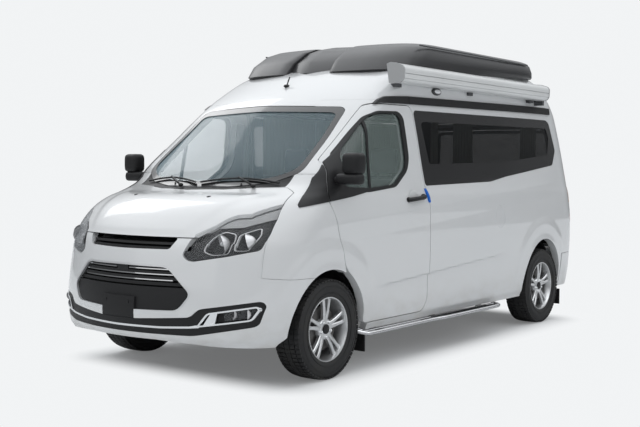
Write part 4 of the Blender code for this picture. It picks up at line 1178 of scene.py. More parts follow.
# %% Panes and their borders
SIDE_CLEAR = soften([(1.335, 1.462), (1.275, 1.765), (1.305, 1.788), (3.600, 1.812),
                     (3.640, 1.720), (3.560, 1.560), (2.550, 1.485)], 0.03)
RIGHT_CLEAR = soften([(2.480, 1.480), (2.480, 1.795), (3.600, 1.812), (3.640, 1.720),
                      (3.560, 1.560), (2.560, 1.485)], 0.03)
SLIDING_CLEAR = soften([(1.415, 1.440), (1.345, 1.760), (1.375, 1.785), (2.140, 1.790),
                        (2.140, 1.440)], 0.03)
SCREEN_CLEAR = [(0.0, 1.33), (0.30, 1.335), (0.56, 1.36), (0.700, 1.42), (0.690, 1.620),
                (0.662, 1.815), (0.62, 1.832), (0.0, 1.850)]
TAIL_CLEAR = [(0.0, 1.35), (0.61, 1.35), (0.650, 1.39), (0.605, 1.765), (0.575, 1.785),
              (0.0, 1.79)]


def window(name, outline, clear, area_of, finish, body="shell"):
    glass = panel(area_of(grow(clear, 0.008)), 0.0045, 0.0075)
    put(glass, name, finish, body, [name])
    border = panel(area_of(grow(outline, -0.0025)), 0.0005, 0.0045, area_of(clear))
    put(border, name + "_border", "black gloss", body)


for name, side, outline, clear in (
        ("side_glass_left", "left", LEFT_WINDOW, SIDE_CLEAR),
        ("side_glass_right", "right", RIGHT_WINDOW, RIGHT_CLEAR),
        ("sliding_door_glass", "right", SLIDING_WINDOW, SLIDING_CLEAR)):
    window(name, outline, clear, lambda shape: side_area(side, shape, 0.5), "dark glass")
window("windscreen", soften(both(SCREEN), 0.05), soften(both(SCREEN_CLEAR), 0.06),
       lambda shape: front_area(shape, 0.9), "windscreen glass")
window("tailgate_glass", soften(both(TAIL_WINDOW), 0.05), soften(both(TAIL_CLEAR), 0.05),
       lambda shape: rear_area(shape, 0.4), "dark glass", "tailgate")
print("windows made")

# %% [markdown]
# ### Door windows
# A rubber seal runs round the opening and a slim bar splits off the front
# quarter, where the sliding pane has its guide. The black sail in the corner is
# one shape, split between the door and the wing.

# %% Door windows, sails and mirrors
DOOR_CLEAR = soften([
    (0.200, 1.412), (0.196, 1.505), (0.254, 1.564), (0.405, 1.678), (0.530, 1.770),
    (0.600, 1.808), (0.722, 1.829), (0.936, 1.832), (0.978, 1.797), (0.994, 1.491),
    (0.966, 1.420), (0.799, 1.308), (0.470, 1.288), (0.196, 1.300)], 0.03)
SAIL = [(-0.290, 1.172), (-0.110, 1.193), (0.236, 1.231), (0.420, 1.258), (0.420, 1.300),
        (0.240, 1.360), (0.240, 1.568), (0.100, 1.474), (-0.012, 1.370), (-0.285, 1.195)]
SHOULDER = [(0.5, -0.32), (0.925, -0.32), (0.905, -0.262), (0.822, -0.016), (0.800, 0.09),
            (0.790, 0.26), (0.5, 0.26)]


def door_glazing(side):
    body = f"door_{side}"
    glass = panel(side_area(side, grow(DOOR_WINDOW, -0.02), 0.5), 0.008, 0.012)
    put(glass, f"door_glass_pane_{side}", "door glass", body, [f"door_glass_{side}"])
    seal = panel(side_area(side, grow(DOOR_WINDOW, 0.004), 0.5), -0.0015, 0.016,
                 side_area(side, DOOR_CLEAR, 0.5))
    bar = panel(side_area(side, [(0.476, 1.25), (0.500, 1.25), (0.552, 1.86), (0.528, 1.86)], 0.5),
                0.002, 0.016)
    common(bar, side_area(side, DOOR_WINDOW, 0.5))
    inboard = prism("z", [(SIDES[side] * x, y) for x, y in SHOULDER], 1.0, 1.7)
    sail = panel(side_area(side, SAIL, 0.780), -0.004, 0.006, side_area(side, DOOR_CLEAR, 0.4),
                 inboard)
    on_door = common(copied(sail), side_area(side, grow(DOOR, -0.0005), 0.4))
    on_wing = cut(sail, side_area(side, grow(DOOR, DOOR_GAP), 0.4))
    put(on_wing, f"sail_on_wing_{side}", "black plastic")
    put(merged([seal, bar, on_door]), f"door_seal_{side}", "black plastic", body)


def rounded_block(low, high, round_off):
    """A box with rounded corners along y and domed ends."""
    (x0, y0, z0), (x1, y1, z1) = low, high
    rings = []
    for along, inset in ((0.0, 1.0), (0.04, 0.45), (0.14, 0.14), (0.3, 0.0), (0.8, 0.0),
                         (0.94, 0.12), (1.0, 0.3)):
        off = inset * round_off
        outline = soften([(x0 + off, z0 + off), (x1 - off, z0 + off),
                          (x1 - off, z1 - off), (x0 + off, z1 - off)], round_off, 6)
        rings.append([(x, y0 + (y1 - y0) * along, z) for x, z in outline])
    return loft(rings)


def mirror(side):
    shell = merged([rounded_block((1.000, 0.058, 1.388), (1.143, 0.165, 1.532), 0.035),
                    rounded_block((0.945, 0.064, 1.318), (1.136, 0.160, 1.392), 0.026),
                    rounded_block((0.925, 0.075, 1.322), (1.020, 0.145, 1.372), 0.018)])
    faces = merged([rounded_block((1.014, 0.160, 1.400), (1.132, 0.168, 1.520), 0.025),
                    rounded_block((1.014, 0.156, 1.328), (1.126, 0.163, 1.378), 0.018)])
    put(handed(shell, side), f"mirror_housing_{side}", "black plastic", f"door_{side}",
        [f"mirror_{side}"], 50)
    put(handed(faces, side), f"mirror_faces_{side}", "chrome", f"door_{side}")


def on_side(y, z, out=0.0):
    """A point on the left side's skin, or a little out from it."""
    return (side_x(y, z) + out, y, z)


def handle(side):
    points = []
    for t in np.linspace(0, 1, 13):
        lift = 0.022 * math.sin(math.pi * t) ** 0.45 if 0 < t < 1 else 0.0
        points.append(on_side(0.944 + 0.244 * t, 1.194 + 0.020 * t, 0.004 + lift))
    grip = merged([pipe(points, 0.0165, 14), ball(on_side(1.172, 1.213), (0.016, 0.032, 0.023)),
                   ball(on_side(0.960, 1.195), (0.014, 0.028, 0.020))])
    cup = ball((side_x(1.04, 1.213) - 0.001, 1.036, 1.222), (0.003, 0.062, 0.044))
    put(handed(grip, side), f"door_handle_{side}", "black plastic", f"door_{side}", smooth=60)
    put(handed(cup, side), f"door_handle_cup_{side}", "awning white", f"door_{side}", smooth=60)


for side in SIDES:
    door_glazing(side)
    mirror(side)
    handle(side)
print("door fittings made")

# %% [markdown]
# ## Wheels
# One wheel is built at the origin and copied. The rim starts as a turned barrel;
# its ten spokes are five pairs, and each pair meets at the hub beside a nut.

# %% Rim
TYRE_WIDTH = 0.215


def spoke():
    """One spoke as a tapered bar, dished towards the hub."""
    rings = []
    for r, x, wide, deep in ((0.050, 0.066, 0.017, 0.030), (0.085, 0.073, 0.0145, 0.026),
                             (0.130, 0.077, 0.0125, 0.024), (0.170, 0.079, 0.012, 0.024),
                             (0.198, 0.080, 0.015, 0.026), (0.212, 0.077, 0.020, 0.022)):
        rings.append([(x - deep, -wide, r), (x - 0.005, -wide, r), (x, -wide * 0.6, r),
                      (x, wide * 0.6, r), (x - 0.005, wide, r), (x - deep, wide, r)])
    return loft(rings)


def rim_mesh():
    barrel = [(0.094, 0.221), (0.096, 0.217), (0.094, 0.211), (0.084, 0.207), (0.060, 0.200),
              (0.020, 0.190), (-0.070, 0.196), (-0.094, 0.205), (-0.094, 0.220),
              (-0.060, 0.212), (0.010, 0.205), (0.060, 0.212)]
    hub = [(0.020, 0.074), (0.060, 0.074), (0.068, 0.068), (0.070, 0.030), (0.070, 0.001),
           (0.020, 0.001)]
    spokes = [moved(spoke(), rotate(72 * k + lean, "X")) for k in range(5) for lean in (-9, 9)]
    return merged([turn(barrel, 72), *spokes, turn(hub, 48)])


def nuts():
    parts = []
    for k in range(5):
        a = math.radians(72 * k + 36)
        nut = turn([(0.066, 0.0105), (0.078, 0.0100), (0.081, 0.006), (0.081, 0.001),
                    (0.066, 0.001)], 6)
        parts.append(moved(nut, shift(0, 0.054 * math.sin(a), 0.054 * math.cos(a))))
    return merged(parts)


def centre_cap():
    return turn([(0.066, 0.034), (0.076, 0.033), (0.079, 0.026), (0.080, 0.001),
                 (0.066, 0.001)], 40)


def brake():
    return merged([turn([(0.012, 0.150), (0.030, 0.150), (0.030, 0.080), (0.012, 0.080)], 64),
                   turn([(0.012, 0.082), (0.036, 0.080), (0.036, 0.001), (0.012, 0.001)], 40)])

# %% [markdown]
# The tread is cut in rubber blocks: each block is a short piece of the tyre's own
# arc, and grooves are simply the space between blocks. That keeps the circle true.

# %% Tyre
TREAD_BLOCKS = 64
# A rib's two edges across the tyre, its depth below the crown at each, and its lean.
RIBS = [(-0.101, -0.070, 0.0062, 0.0018, 0.35), (-0.064, -0.026, 0.001, 0.0, 0.2),
        (-0.020, 0.020, 0.0, 0.0, 0.0), (0.026, 0.064, 0.0, 0.001, -0.2),
        (0.070, 0.101, 0.0018, 0.0062, -0.35)]


def tread():
    verts, faces = [], []
    for x0, x1, low0, low1, lean in RIBS:
        r0, r1 = TYRE_RADIUS - low0, TYRE_RADIUS - low1
        for k in range(TREAD_BLOCKS):
            start = len(verts)
            for j in range(4):
                a = 2 * math.pi * (k + (j / 3) * (0.80 if lean else 0.93)) / TREAD_BLOCKS
                for x, r in ((x0, r0 - 0.012), (x0, r0), (x1, r1), (x1, r1 - 0.012)):
                    b = a + lean * (x - x0)
                    verts.append((x, -r * math.sin(b), r * math.cos(b)))
            for p in (start, start + 4, start + 8):
                for m in range(4):
                    n = (m + 1) % 4
                    faces.append((p + m, p + n, p + 4 + n, p + 4 + m))
            faces += [tuple(start + m for m in range(4)), tuple(start + 12 + m for m in range(4))]
    return face_out(mesh_object(verts, faces))


def tyre_mesh():
    half, top = TYRE_WIDTH / 2, TYRE_RADIUS
    wall = [(-0.094, 0.216), (-0.100, 0.228), (-half + 0.001, 0.258), (-half, 0.285),
            (-half + 0.003, 0.305), (-half + 0.010, top - 0.021),
            (-half + 0.020, top - 0.010), (-half + 0.032, top - 0.0085)]
    profile = wall + [(0.0, top - 0.0075)] + mirrored(wall) + [(0.0, 0.212)]
    parts = [turn(profile, 120), tread()]
    for r0, r1 in ((0.246, 0.249), (0.292, 0.294)):
        parts.append(turn([(half - 0.003, r0), (half + 0.0006, r0 + 0.0005),
                           (half + 0.0006, r1 - 0.0005), (half - 0.003, r1)], 96))
    return merged(parts)

# %% [markdown]
# The finished parts are copied to four places. A matrix with a mirror in it serves
# the right side, and `moved` keeps its faces pointing out.

# %% Four wheels
def wheels():
    # part: mesh, finish, smoothing angle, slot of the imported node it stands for
    pieces = {"tyre": (tyre_mesh(), "tyre rubber", 30, "tyre_rubber"),
              "rim": (rim_mesh(), "wheel silver", 40, "alloy"),
              "cap": (centre_cap(), "black plastic", 40, None),
              "nuts": (nuts(), "chrome", 30, None)}
    disc = brake()
    for axle, y in (("front", 0.0), ("rear", WHEELBASE)):
        for side, sign in SIDES.items():
            place = shift(sign * FRONT_WHEEL.x, y, TYRE_RADIUS)
            if side == "right":
                place = place @ FLIP
            end = f"{axle}_{side}"
            for part, (mesh, finish, smooth, slot) in pieces.items():
                put(moved(copied(mesh), place), f"{part}_{end}_fine", finish, f"wheel_{end}",
                    [f"{part}_{end}"] if slot else [], smooth)
            put(moved(copied(disc), place), f"brake_disc_{end}", "cast iron", f"wheel_{end}")
    drop(disc, *[row[0] for row in pieces.values()])


wheels()
print("wheels made")

# %% [markdown]
# ## Roof
# The pod is a low tray with a sloped nose, the awning a rolled cloth in an
# aluminium case. Both are lofts: the same outline at several heights or stations.

# %% Roof pod
POD_PLAN = [(0.20, 0.950), (0.38, 0.957), (0.54, 0.978), (0.66, 1.026), (0.735, 1.095),
            (0.780, 1.190), (0.80, 1.330), (0.80, 3.260), (0.765, 3.450), (0.70, 3.520)]
POD_START, POD_LENGTH = 0.948, 2.574
# height, width share, start and end as shares of the plan, droop of the nose
POD_LEVELS = [
    (2.272, 0.990, 0.010, 0.997, 0.105), (2.285, 1.000, 0.000, 1.000, 0.105),
    (2.330, 0.998, 0.029, 0.999, 0.055), (2.385, 0.975, 0.093, 0.993, 0.010),
    (2.413, 0.945, 0.140, 0.984, 0.0), (2.4215, 0.918, 0.160, 0.977, 0.0),
    (2.4245, 0.885, 0.185, 0.968, 0.0)]


def pod():
    plan = [(0.0, POD_START)] + soften(POD_PLAN, 0.12, 6) + [(0.0, POD_START + POD_LENGTH)]
    rings = []
    for z, wide, start, end, droop in POD_LEVELS:
        ring = []
        for x, y in both(plan):
            t = (y - POD_START) / POD_LENGTH
            ring.append((x * wide, POD_START + POD_LENGTH * (start + (end - start) * t),
                         z - droop * (1 - t)))
        rings.append(ring)
    put(cut(loft(rings), skin_at(0.0, False)), "roof_pod_tray", "pod black",
        nodes=["roof_pod"])
    rails = [pipe([(sign * 0.788, 1.40, 2.392), (sign * 0.79, 2.2, 2.394),
                   (sign * 0.785, 3.30, 2.390)], 0.006) for sign in (1, -1)]
    put(merged(rails), "roof_pod_rails", "dark grey plastic")


pod()

# %% [markdown]
# The awning's case is one extrusion with two grooves along its face, closed by a
# cap at each end. Brackets carry it, and a small lamp sits on the wall below.

# %% Awning
AWNING_START, AWNING_END = 0.87, 3.37
AWNING_CAP = 0.014


def awning():
    start, end = AWNING_START, AWNING_END
    outline = [(0.852, 2.062), (0.925, 2.060)] + arc(0.932, 2.106, 0.046, -85, 5, 8) + [
        (0.979, 2.135)] + arc(0.940, 2.150, 0.040, 0, 80, 8) + [
        (0.905, 2.204), (0.862, 2.210), (0.832, 2.200)]
    case = prism("y", outline, start + 0.012, end - 0.012)
    grooves = [box(0.966, 1.1, start - 0.1, end + 0.1, z0, z1)
               for z0, z1 in ((2.124, 2.129), (2.088, 2.091))]
    cut(case, *grooves, skin_at(-0.001, False))
    put(case, "awning_case_fine", "awning white", nodes=["awning_case"],
        smooth=25)
    caps = [cut(prism("y", grow(outline, 0.003), y, y + AWNING_CAP), skin_at(-0.001, False))
            for y in (start, end - AWNING_CAP)]
    put(merged(caps), "awning_caps", "cap grey")
    brackets = [box(0.80, 0.865, y, y + 0.07, 2.035, 2.062) for y in (0.95, 2.05, 3.20)]
    brackets.append(box(0.80, 0.90, 3.385, 3.425, 2.02, 2.11))
    put(merged(brackets), "awning_brackets", "trim grey")
    put(ball(on_side(1.55, 2.035, 0.004), (0.020, 0.070, 0.030)), "awning_lamp",
        "dark grey plastic", smooth=60)
    put(ball(on_side(1.55, 2.035, 0.012), (0.018, 0.052, 0.019)), "awning_lamp_lens",
        "lamp white", smooth=60)


awning()

# %% [markdown]
# ### Gutter rails and side steps
# A black rail closes the joint between the steel side and the raised roof. The
# side step is a bent tube with a treaded board, as a camper shop fits it.

# %% Gutter rails and side steps
GUTTER = [(0.680, 1.898), (0.735, 1.906), (1.06, 1.914), (3.60, 1.946), (3.72, 1.946),
          (3.72, 2.006), (3.60, 2.008), (1.10, 1.974), (0.81, 1.958), (0.74, 1.934)]


def gutter(side):
    rail = panel(side_area(side, soften(GUTTER, 0.012), 0.5), -0.012, 0.004)
    cut(rail, side_area(side, [(1.118, 1.90), (1.122, 1.90), (1.122, 1.99), (1.118, 1.99)], 0.5))
    put(rail, f"gutter_rail_{side}", "black plastic")


def curve(points, between=6):
    """A Catmull-Rom curve through points."""
    p = [Vector(q) for q in points]
    p = [2 * p[0] - p[1]] + p + [2 * p[-1] - p[-2]]
    made = []
    for i in range(1, len(p) - 2):
        for k in range(between):
            t = k / between
            made.append(0.5 * ((2 * p[i]) + (p[i + 1] - p[i - 1]) * t
                               + (2 * p[i - 1] - 5 * p[i] + 4 * p[i + 1] - p[i + 2]) * t * t
                               + (3 * p[i] - 3 * p[i + 1] + p[i + 2] - p[i - 1]) * t ** 3))
    return made + [p[-2]]


OUTER_TUBE = [(0.880, 0.36, 0.300), (0.935, 0.37, 0.282), (0.972, 0.42, 0.266),
              (0.985, 0.52, 0.262), (0.987, 1.25, 0.262), (0.996, 1.40, 0.262),
              (1.006, 1.55, 0.262), (1.006, 2.25, 0.262), (0.995, 2.37, 0.262),
              (0.960, 2.42, 0.264), (0.900, 2.435, 0.270)]
INNER_TUBE = [(0.880, 0.44, 0.290), (0.915, 0.47, 0.272), (0.925, 0.60, 0.266),
              (0.925, 2.40, 0.266)]
BOARD = soften([(0.910, 1.20), (0.985, 1.26), (0.995, 1.50), (0.995, 2.28), (0.960, 2.36),
                (0.910, 2.36)], 0.03)


def side_step(side):
    steel = merged([pipe(curve(OUTER_TUBE), 0.0145, 20), pipe(curve(INNER_TUBE), 0.012, 16)])
    ribs = [box(0.930, 0.982, y, y + 0.008, 0.268, 0.2745) for y in np.arange(1.36, 2.26, 0.022)]
    arms = [box(0.855, 0.985, y, y + 0.045, 0.252, 0.270) for y in (0.62, 1.45, 2.22)]
    black = merged([prism("z", BOARD, 0.252, 0.270)] + ribs + arms)
    put(handed(steel, side), f"side_step_tubes_{side}", "polished steel",
        nodes=[f"side_step_{side}"], smooth=60)
    put(handed(black, side), f"side_step_board_{side}", "black plastic")


for side in SIDES:
    gutter(side)
    side_step(side)
print("roof and steps made")

# %% [markdown]
# ## Rear end
# The lamps wrap round the corners in three colours behind one smooth surface. The
# plate's recess keeps a blank plate, and a bar over it hides the handle.

# %% Tail lamps
# name, lower and upper edge, finish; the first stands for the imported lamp
LAMP_BANDS = (("brake", 1.245, 1.53, "red lens"), ("turn", 1.105, 1.243, "indicator amber"),
              ("reverse", 0.985, 1.103, "lamp white"), ("mark", 0.91, 0.983, "red lens"))


def tail_lamp(side):
    shape = grow(TAIL_LAMP, -0.002)
    for number, (name, low, high, finish) in enumerate(LAMP_BANDS):
        part = common(panel(side_area(side, shape, 0.8), 0.0, 0.005),
                      box(-WIDE, WIDE, 3.5, BEHIND, low, high))
        put(part, f"tail_{name}_{side}", finish, "shell",
            [] if number else [f"tail_lamp_{side}"])
    put(panel(side_area(side, shape, 0.822), 0.018, 0.05), f"tail_housing_{side}",
        "silver paint")


for side in SIDES:
    tail_lamp(side)

# %% [markdown]
# The tailgate carries a bar over its handle, a high brake lamp, a blank plate with
# two small lamps, and a wiper. The bumper's black step has rubber pads.

# %% Tailgate fittings and rear bumper
def tail_bar(half, steps, section):
    """A bar across the tail: its section as (height, distance behind the skin)."""
    return loft([[(x, tail_y(x, z) + d, z) for z, d in section]
                 for x in np.linspace(-half, half, steps)])


def on_tail(x, z, out):
    """A point a little behind the tail."""
    return Vector((x, tail_y(x, z) + out, z))


def tailgate_fittings():
    bar = tail_bar(0.33, 15, ((1.008, -0.01), (1.012, 0.012), (1.035, 0.020), (1.052, 0.014),
                              (1.056, -0.01)))
    grip = box(-0.07, 0.07, 4.17, 4.205, 0.985, 1.006)
    top = tail_bar(0.16, 9, ((1.838, -0.01), (1.840, 0.010), (1.858, 0.010), (1.862, -0.01)))
    put(merged([bar, grip]), "tailgate_handle_bar", "black gloss", "tailgate")
    put(top, "high_brake_lamp", "red lens", "tailgate")
    bottom = WHEELBASE + PLATE_RECESS
    plate = box(-0.26, 0.26, bottom + 0.002, bottom + 0.006, 0.872, 0.985)
    put(plate, "rear_plate_blank", "lamp white", "tailgate")
    lens = [box(x - 0.02, x + 0.02, bottom + 0.002, bottom + 0.016, 0.988, 0.997)
            for x in (-0.15, 0.15)]
    put(merged(lens), "plate_lamps", "lamp white", "tailgate")
    pivot = on_tail(0.0, 1.275, 0.012)
    arm = [pivot, on_tail(0.10, 1.33, 0.022), on_tail(0.30, 1.37, 0.018)]
    blade = [on_tail(x, 1.345 + 0.09 * x, 0.008) for x in np.linspace(0.02, 0.50, 9)]
    boss = turn([(0.0, 0.022), (0.022, 0.018), (0.026, 0.001), (0.0, 0.001)], 20, "y")
    moved(boss, shift(*pivot) @ shift(y=-0.02))
    put(merged([pipe(arm, 0.007, 10), pipe(blade, 0.006, 8), boss]), "rear_wiper",
        "black plastic", "tailgate", smooth=50)


def rear_bumper():
    made = panel(box(-WIDE, WIDE, WHEELBASE + 0.46, BEHIND, 0.30, 0.615), 0.0, 0.045,
                 prism("x", grow(rear_arch(), 0.0004), -WIDE, WIDE))
    tail = WHEELBASE + 0.985
    plan = soften([(0.74, 4.02), (0.74, tail - 0.10), (0.58, tail - 0.032),
                   (-0.58, tail - 0.032), (-0.74, tail - 0.10), (-0.74, 4.02)], 0.05)
    step = cut(prism("z", plan, 0.385, 0.592), skin_at(0.045, False))
    pads = [box(x, x + 0.045, tail - 0.085, tail - 0.055, 0.590, 0.597)
            for x in np.arange(-0.56, 0.55, 0.062)]
    put(merged([step] + pads), "rear_bumper_step", "black plastic",
        nodes=["rear_bumper"])
    put(made, "rear_bumper_cover", "white paint")
    marks = [box(x - 0.035, x + 0.035, tail - 0.034, tail - 0.029, 0.47, 0.51)
             for x in (0.50, 0.62, -0.50, -0.62)]
    put(merged(marks), "rear_reflectors", "red lens")


tailgate_fittings()
rear_bumper()
print("rear end made")

# %% [markdown]
# ## Cab and living space
# Stuffed seats come from a cloth simulation: pressure swells a slightly small
# form, points near the seams are held, and so the seams pull in between pads.
# The swelling is capped, so that no pad leaves its seat's box. A last smoothing
# rounds the mesh without adding to it, where a subdivision would make it four
# times as large for seats that are mostly seen through glass.

# %% Stuffed pads
FRAMES = 14            # how long the cloth has to swell


def coordinates(mesh):
    """A mesh's points as an array with a row each."""
    flat = np.zeros(len(mesh.vertices) * 3, np.float32)
    mesh.vertices.foreach_get("co", flat)
    return flat.reshape(-1, 3)


def stuffed(obj, seams, swell=0.016, voxel=0.0095):
    """Swell a form by cloth pressure, holding it along seams given as (axis, place)."""
    remesh = obj.modifiers.new("even", "REMESH")
    remesh.mode = "VOXEL"
    remesh.voxel_size = voxel
    obj.data = baked(obj)
    points = coordinates(obj.data)
    held = np.zeros(len(points), bool)
    centre = (points.min(0) + points.max(0)) / 2
    for axis, place in seams:
        near = np.abs(points[:, axis] - place) < voxel * 0.75
        held |= near
        pinch = np.where(np.arange(3) == axis, 0, 0.035)
        points[near] += (centre - points[near]) * pinch
    held |= points[:, 2] < points[:, 2].min() + 0.012
    obj.data.vertices.foreach_set("co", points.ravel())
    group = obj.vertex_groups.new(name="held")
    group.add([int(i) for i in np.flatnonzero(held)], 1.0, "REPLACE")
    cloth = obj.modifiers.new("cloth", "CLOTH")
    cloth.settings.quality = 4
    cloth.settings.use_pressure = True
    cloth.settings.uniform_pressure_force = 4.0
    cloth.settings.effector_weights.gravity = 0.0
    cloth.settings.vertex_group_mass = "held"
    cloth.settings.tension_stiffness = 12.0
    cloth.settings.compression_stiffness = 12.0
    cloth.point_cache.frame_start, cloth.point_cache.frame_end = 1, FRAMES
    for frame_number in range(1, FRAMES + 1):
        bpy.context.scene.frame_set(frame_number)
    move = coordinates(baked(obj)) - points
    length = np.maximum(np.linalg.norm(move, axis=1, keepdims=True), 1e-9)
    points = points + move * np.minimum(1.0, swell / length)
    obj.vertex_groups.clear()
    bpy.context.scene.frame_set(1)
    obj.data.vertices.foreach_set("co", points.ravel())
    soft = obj.modifiers.new("soft", "SMOOTH")
    soft.factor, soft.iterations = 0.5, 2
    obj.data = baked(obj)
    return obj


def pad_form(points, x0, x1, round_off):
    """A side outline in (y, z) with soft corners, pushed across between rounded ends."""
    rings = []
    for share, inset in ((0.0, 1.0), (0.03, 0.5), (0.09, 0.15), (0.2, 0.0), (0.8, 0.0),
                         (0.91, 0.15), (0.97, 0.5), (1.0, 1.0)):
        outline = soften(grow(points, -round_off * 0.5 * inset), round_off, 5)
        rings.append([(x0 + (x1 - x0) * share, y, z) for y, z in outline])
    return loft(rings)

# %% [markdown]
# A front seat is made once and turned over for the other side. The bench uses a
# coarser mesh, since its pads are wide and flat.

# %% Seats and bench
# Side outlines in (y, z), from the front axle and the ground.
CUSHION = [(0.775, 0.715), (0.765, 0.815), (1.205, 0.800), (1.235, 0.700)]
BACKREST = [(1.205, 0.760), (1.290, 0.745), (1.435, 1.335), (1.375, 1.345)]
HEADREST = [(1.372, 1.385), (1.445, 1.385), (1.448, 1.590), (1.388, 1.590)]
BENCH_CUSHION = [(2.550, 0.760), (2.540, 0.875), (2.960, 0.862), (2.985, 0.740)]
BENCH_BACK = [(2.960, 0.815), (3.080, 0.800), (3.140, 1.380), (3.080, 1.385)]
SEAT_X = 0.45          # the middle of a front seat


def soft_piece(obj, name, nodes=()):
    """A pad in seat cloth, shaded smooth."""
    put(obj, name, "seat cloth", nodes=nodes, smooth=80)


def seat_pad(outline, half, round_off, seam, more=(), swell=0.016):
    """A front seat's pad, with a seam on either side of its middle."""
    seams = [(0, SEAT_X - seam), (0, SEAT_X + seam), *more]
    return stuffed(pad_form(outline, SEAT_X - half, SEAT_X + half, round_off), seams, swell)


def front_seats():
    pads = {"cushion": seat_pad(CUSHION, 0.215, 0.04, 0.13, [(1, 1.06)]),
            "backrest": seat_pad(BACKREST, 0.215, 0.035, 0.13, [(2, 1.08)]),
            "headrest": seat_pad(HEADREST, 0.120, 0.03, 0.118, swell=0.010)}
    posts = [pipe([(SEAT_X + x, 1.405, 1.30), (SEAT_X + x, 1.415, 1.42)], 0.007)
             for x in (-0.06, 0.06)]
    base = merged([
        rounded_block((SEAT_X - 0.215, 0.80, 0.502), (SEAT_X + 0.215, 1.27, 0.735), 0.02),
        box(SEAT_X - 0.20, SEAT_X + 0.20, 1.29, 1.305, 0.72, 0.80), *posts])
    for side in SIDES:
        for part, pad in pads.items():
            stands = part == "cushion"
            soft_piece(handed(copied(pad), side), f"seat_{part}_{side}",
                       [f"front_seat_{side}"] if stands else [])
        put(handed(copied(base), side), f"seat_base_{side}", "trim grey")
    drop(base, *pads.values())


def bench():
    cushion, back = (
        stuffed(pad_form(outline, -0.585, 0.585, round_off), [(0, -0.20), (0, 0.20), seam],
                voxel=0.012)
        for outline, round_off, seam in ((BENCH_CUSHION, 0.045, (1, 2.80)),
                                         (BENCH_BACK, 0.04, (2, 1.12))))
    soft_piece(cushion, "bench_cushion", ["rear_bench"])
    soft_piece(back, "bench_back")
    base = rounded_block((-0.58, 2.57, 0.502), (0.58, 3.08, 0.775), 0.02)
    put(base, "bench_base", "lining grey")


front_seats()
bench()
print("seats made")

# %% [markdown]
# ### Curtains
# A gathered curtain is a sheet laid in even folds. The cloth was cut as wide as
# the fold line is long, so that is the flat width given to `sheet`.

# %% Curtains
RAIL_X = 0.762         # the curtain rail, on either side
FOLD_WIDTH, FOLD_DEPTH = 0.045, 0.009
CURTAIN_TOP, HEM = 1.868, 1.352
ROWS, STEPS = 25, 12   # rows down the cloth, and steps across one fold


def curtain(side, number, start, width):
    sign = SIDES[side]
    folds = int(width / FOLD_WIDTH)
    count = folds * STEPS + 1
    along = np.linspace(0, 1, count)
    phase = along * folds * 2 * math.pi
    verts = []
    for t in np.linspace(0, 1, ROWS):
        loose = 0.75 + 0.35 * t
        x = RAIL_X - 0.003 + FOLD_DEPTH * loose * np.sin(
            phase + 0.25 * np.sin(5 * t + along * 9))
        z = CURTAIN_TOP + (HEM - CURTAIN_TOP) * t
        verts += [(sign * a, b, z) for a, b in zip(x, start + width * along)]
    faces = [(r * count + c, r * count + c + 1, (r + 1) * count + c + 1, (r + 1) * count + c)
             for r in range(ROWS - 1) for c in range(count - 1)]
    sheet = mesh_object(verts, faces)
    stands = number == 0
    put(sheet, f"curtain_{side}_{number}", "curtain cloth", "shell",
        [f"curtain_{side}"] if stands else [], 80)


# On the left the curtains are gathered back; on the right they are drawn.
HANGING = {"left": ((1.62, 0.12), (1.98, 0.34), (WHEELBASE - 0.08, 0.34)),
           "right": ((1.33, 0.74), (2.09, 0.74), (2.85, 0.72))}
for side, sign in SIDES.items():
    rail = pipe([(sign * RAIL_X, y, 1.876) for y in (1.31, 3.58)], 0.006)
    put(rail, f"curtain_rail_{side}", "polished steel", smooth=60)
    for number, (start, width) in enumerate(HANGING[side]):
        curtain(side, number, start, width)
print("curtains hung")

# %% [markdown]
# ### Dashboard, steering wheel and lining
# What shows through the windscreen is a dark shape with a few edges: the top of
# the dashboard, its vents, the rim of the wheel. Thin linings close the walls.

# %% Dashboard and steering wheel
def dashboard():
    profile = soften([(0.150, 0.815), (0.150, 1.175), (0.260, 1.208), (0.425, 1.165),
                      (0.490, 1.025), (0.415, 0.815)], 0.05)
    ends = ((-0.825, 0.90), (-0.80, 0.97), (-0.5, 1.0), (0.5, 1.0), (0.80, 0.97), (0.825, 0.90))
    parts = [loft([[(x, 0.15 + (y - 0.15) * s, z) for y, z in profile] for x, s in ends]),
             rounded_block((0.265, 0.30, 1.13), (0.575, 0.46, 1.232), 0.03),
             rounded_block((-0.13, 0.38, 0.82), (0.13, 0.52, 1.11), 0.02)]
    put(merged(parts), "dashboard_top", "trim grey", nodes=["dashboard"])
    dark = [rounded_block((-0.10, 0.505, 0.97), (0.10, 0.525, 1.09), 0.006),
            rounded_block((0.29, 0.445, 1.145), (0.55, 0.466, 1.215), 0.01)]
    put(merged(dark), "dashboard_screens", "black gloss")
    bright = []
    for x in (-0.70, -0.20, 0.20, 0.70):
        ring = turn([(0.0, 0.048), (0.010, 0.047), (0.010, 0.038), (0.0, 0.037)], 36, "y")
        bright.append(moved(ring, shift(x, 0.462, 1.085) @ rotate(-25, "X")))
    put(merged(bright), "dashboard_vents", "silver paint")
    column = pipe([(0.42, 0.32, 1.03), (0.42, 0.62, 1.175)], 0.032, 20)
    put(column, "steering_column", "black plastic", smooth=60)


def bent_ring(radius, thick, steps, sides):
    """A round bar bent into a flat ring."""
    rings = []
    for a in np.linspace(0, 2 * math.pi, steps + 1):
        out = Vector((math.cos(a), math.sin(a), 0))
        rings.append([out * (radius + thick * math.cos(b)) + Vector((0, 0, thick * math.sin(b)))
                      for b in np.linspace(0, 2 * math.pi, sides, endpoint=False)])
    return face_out(loft(rings, False), weld=0.00001)


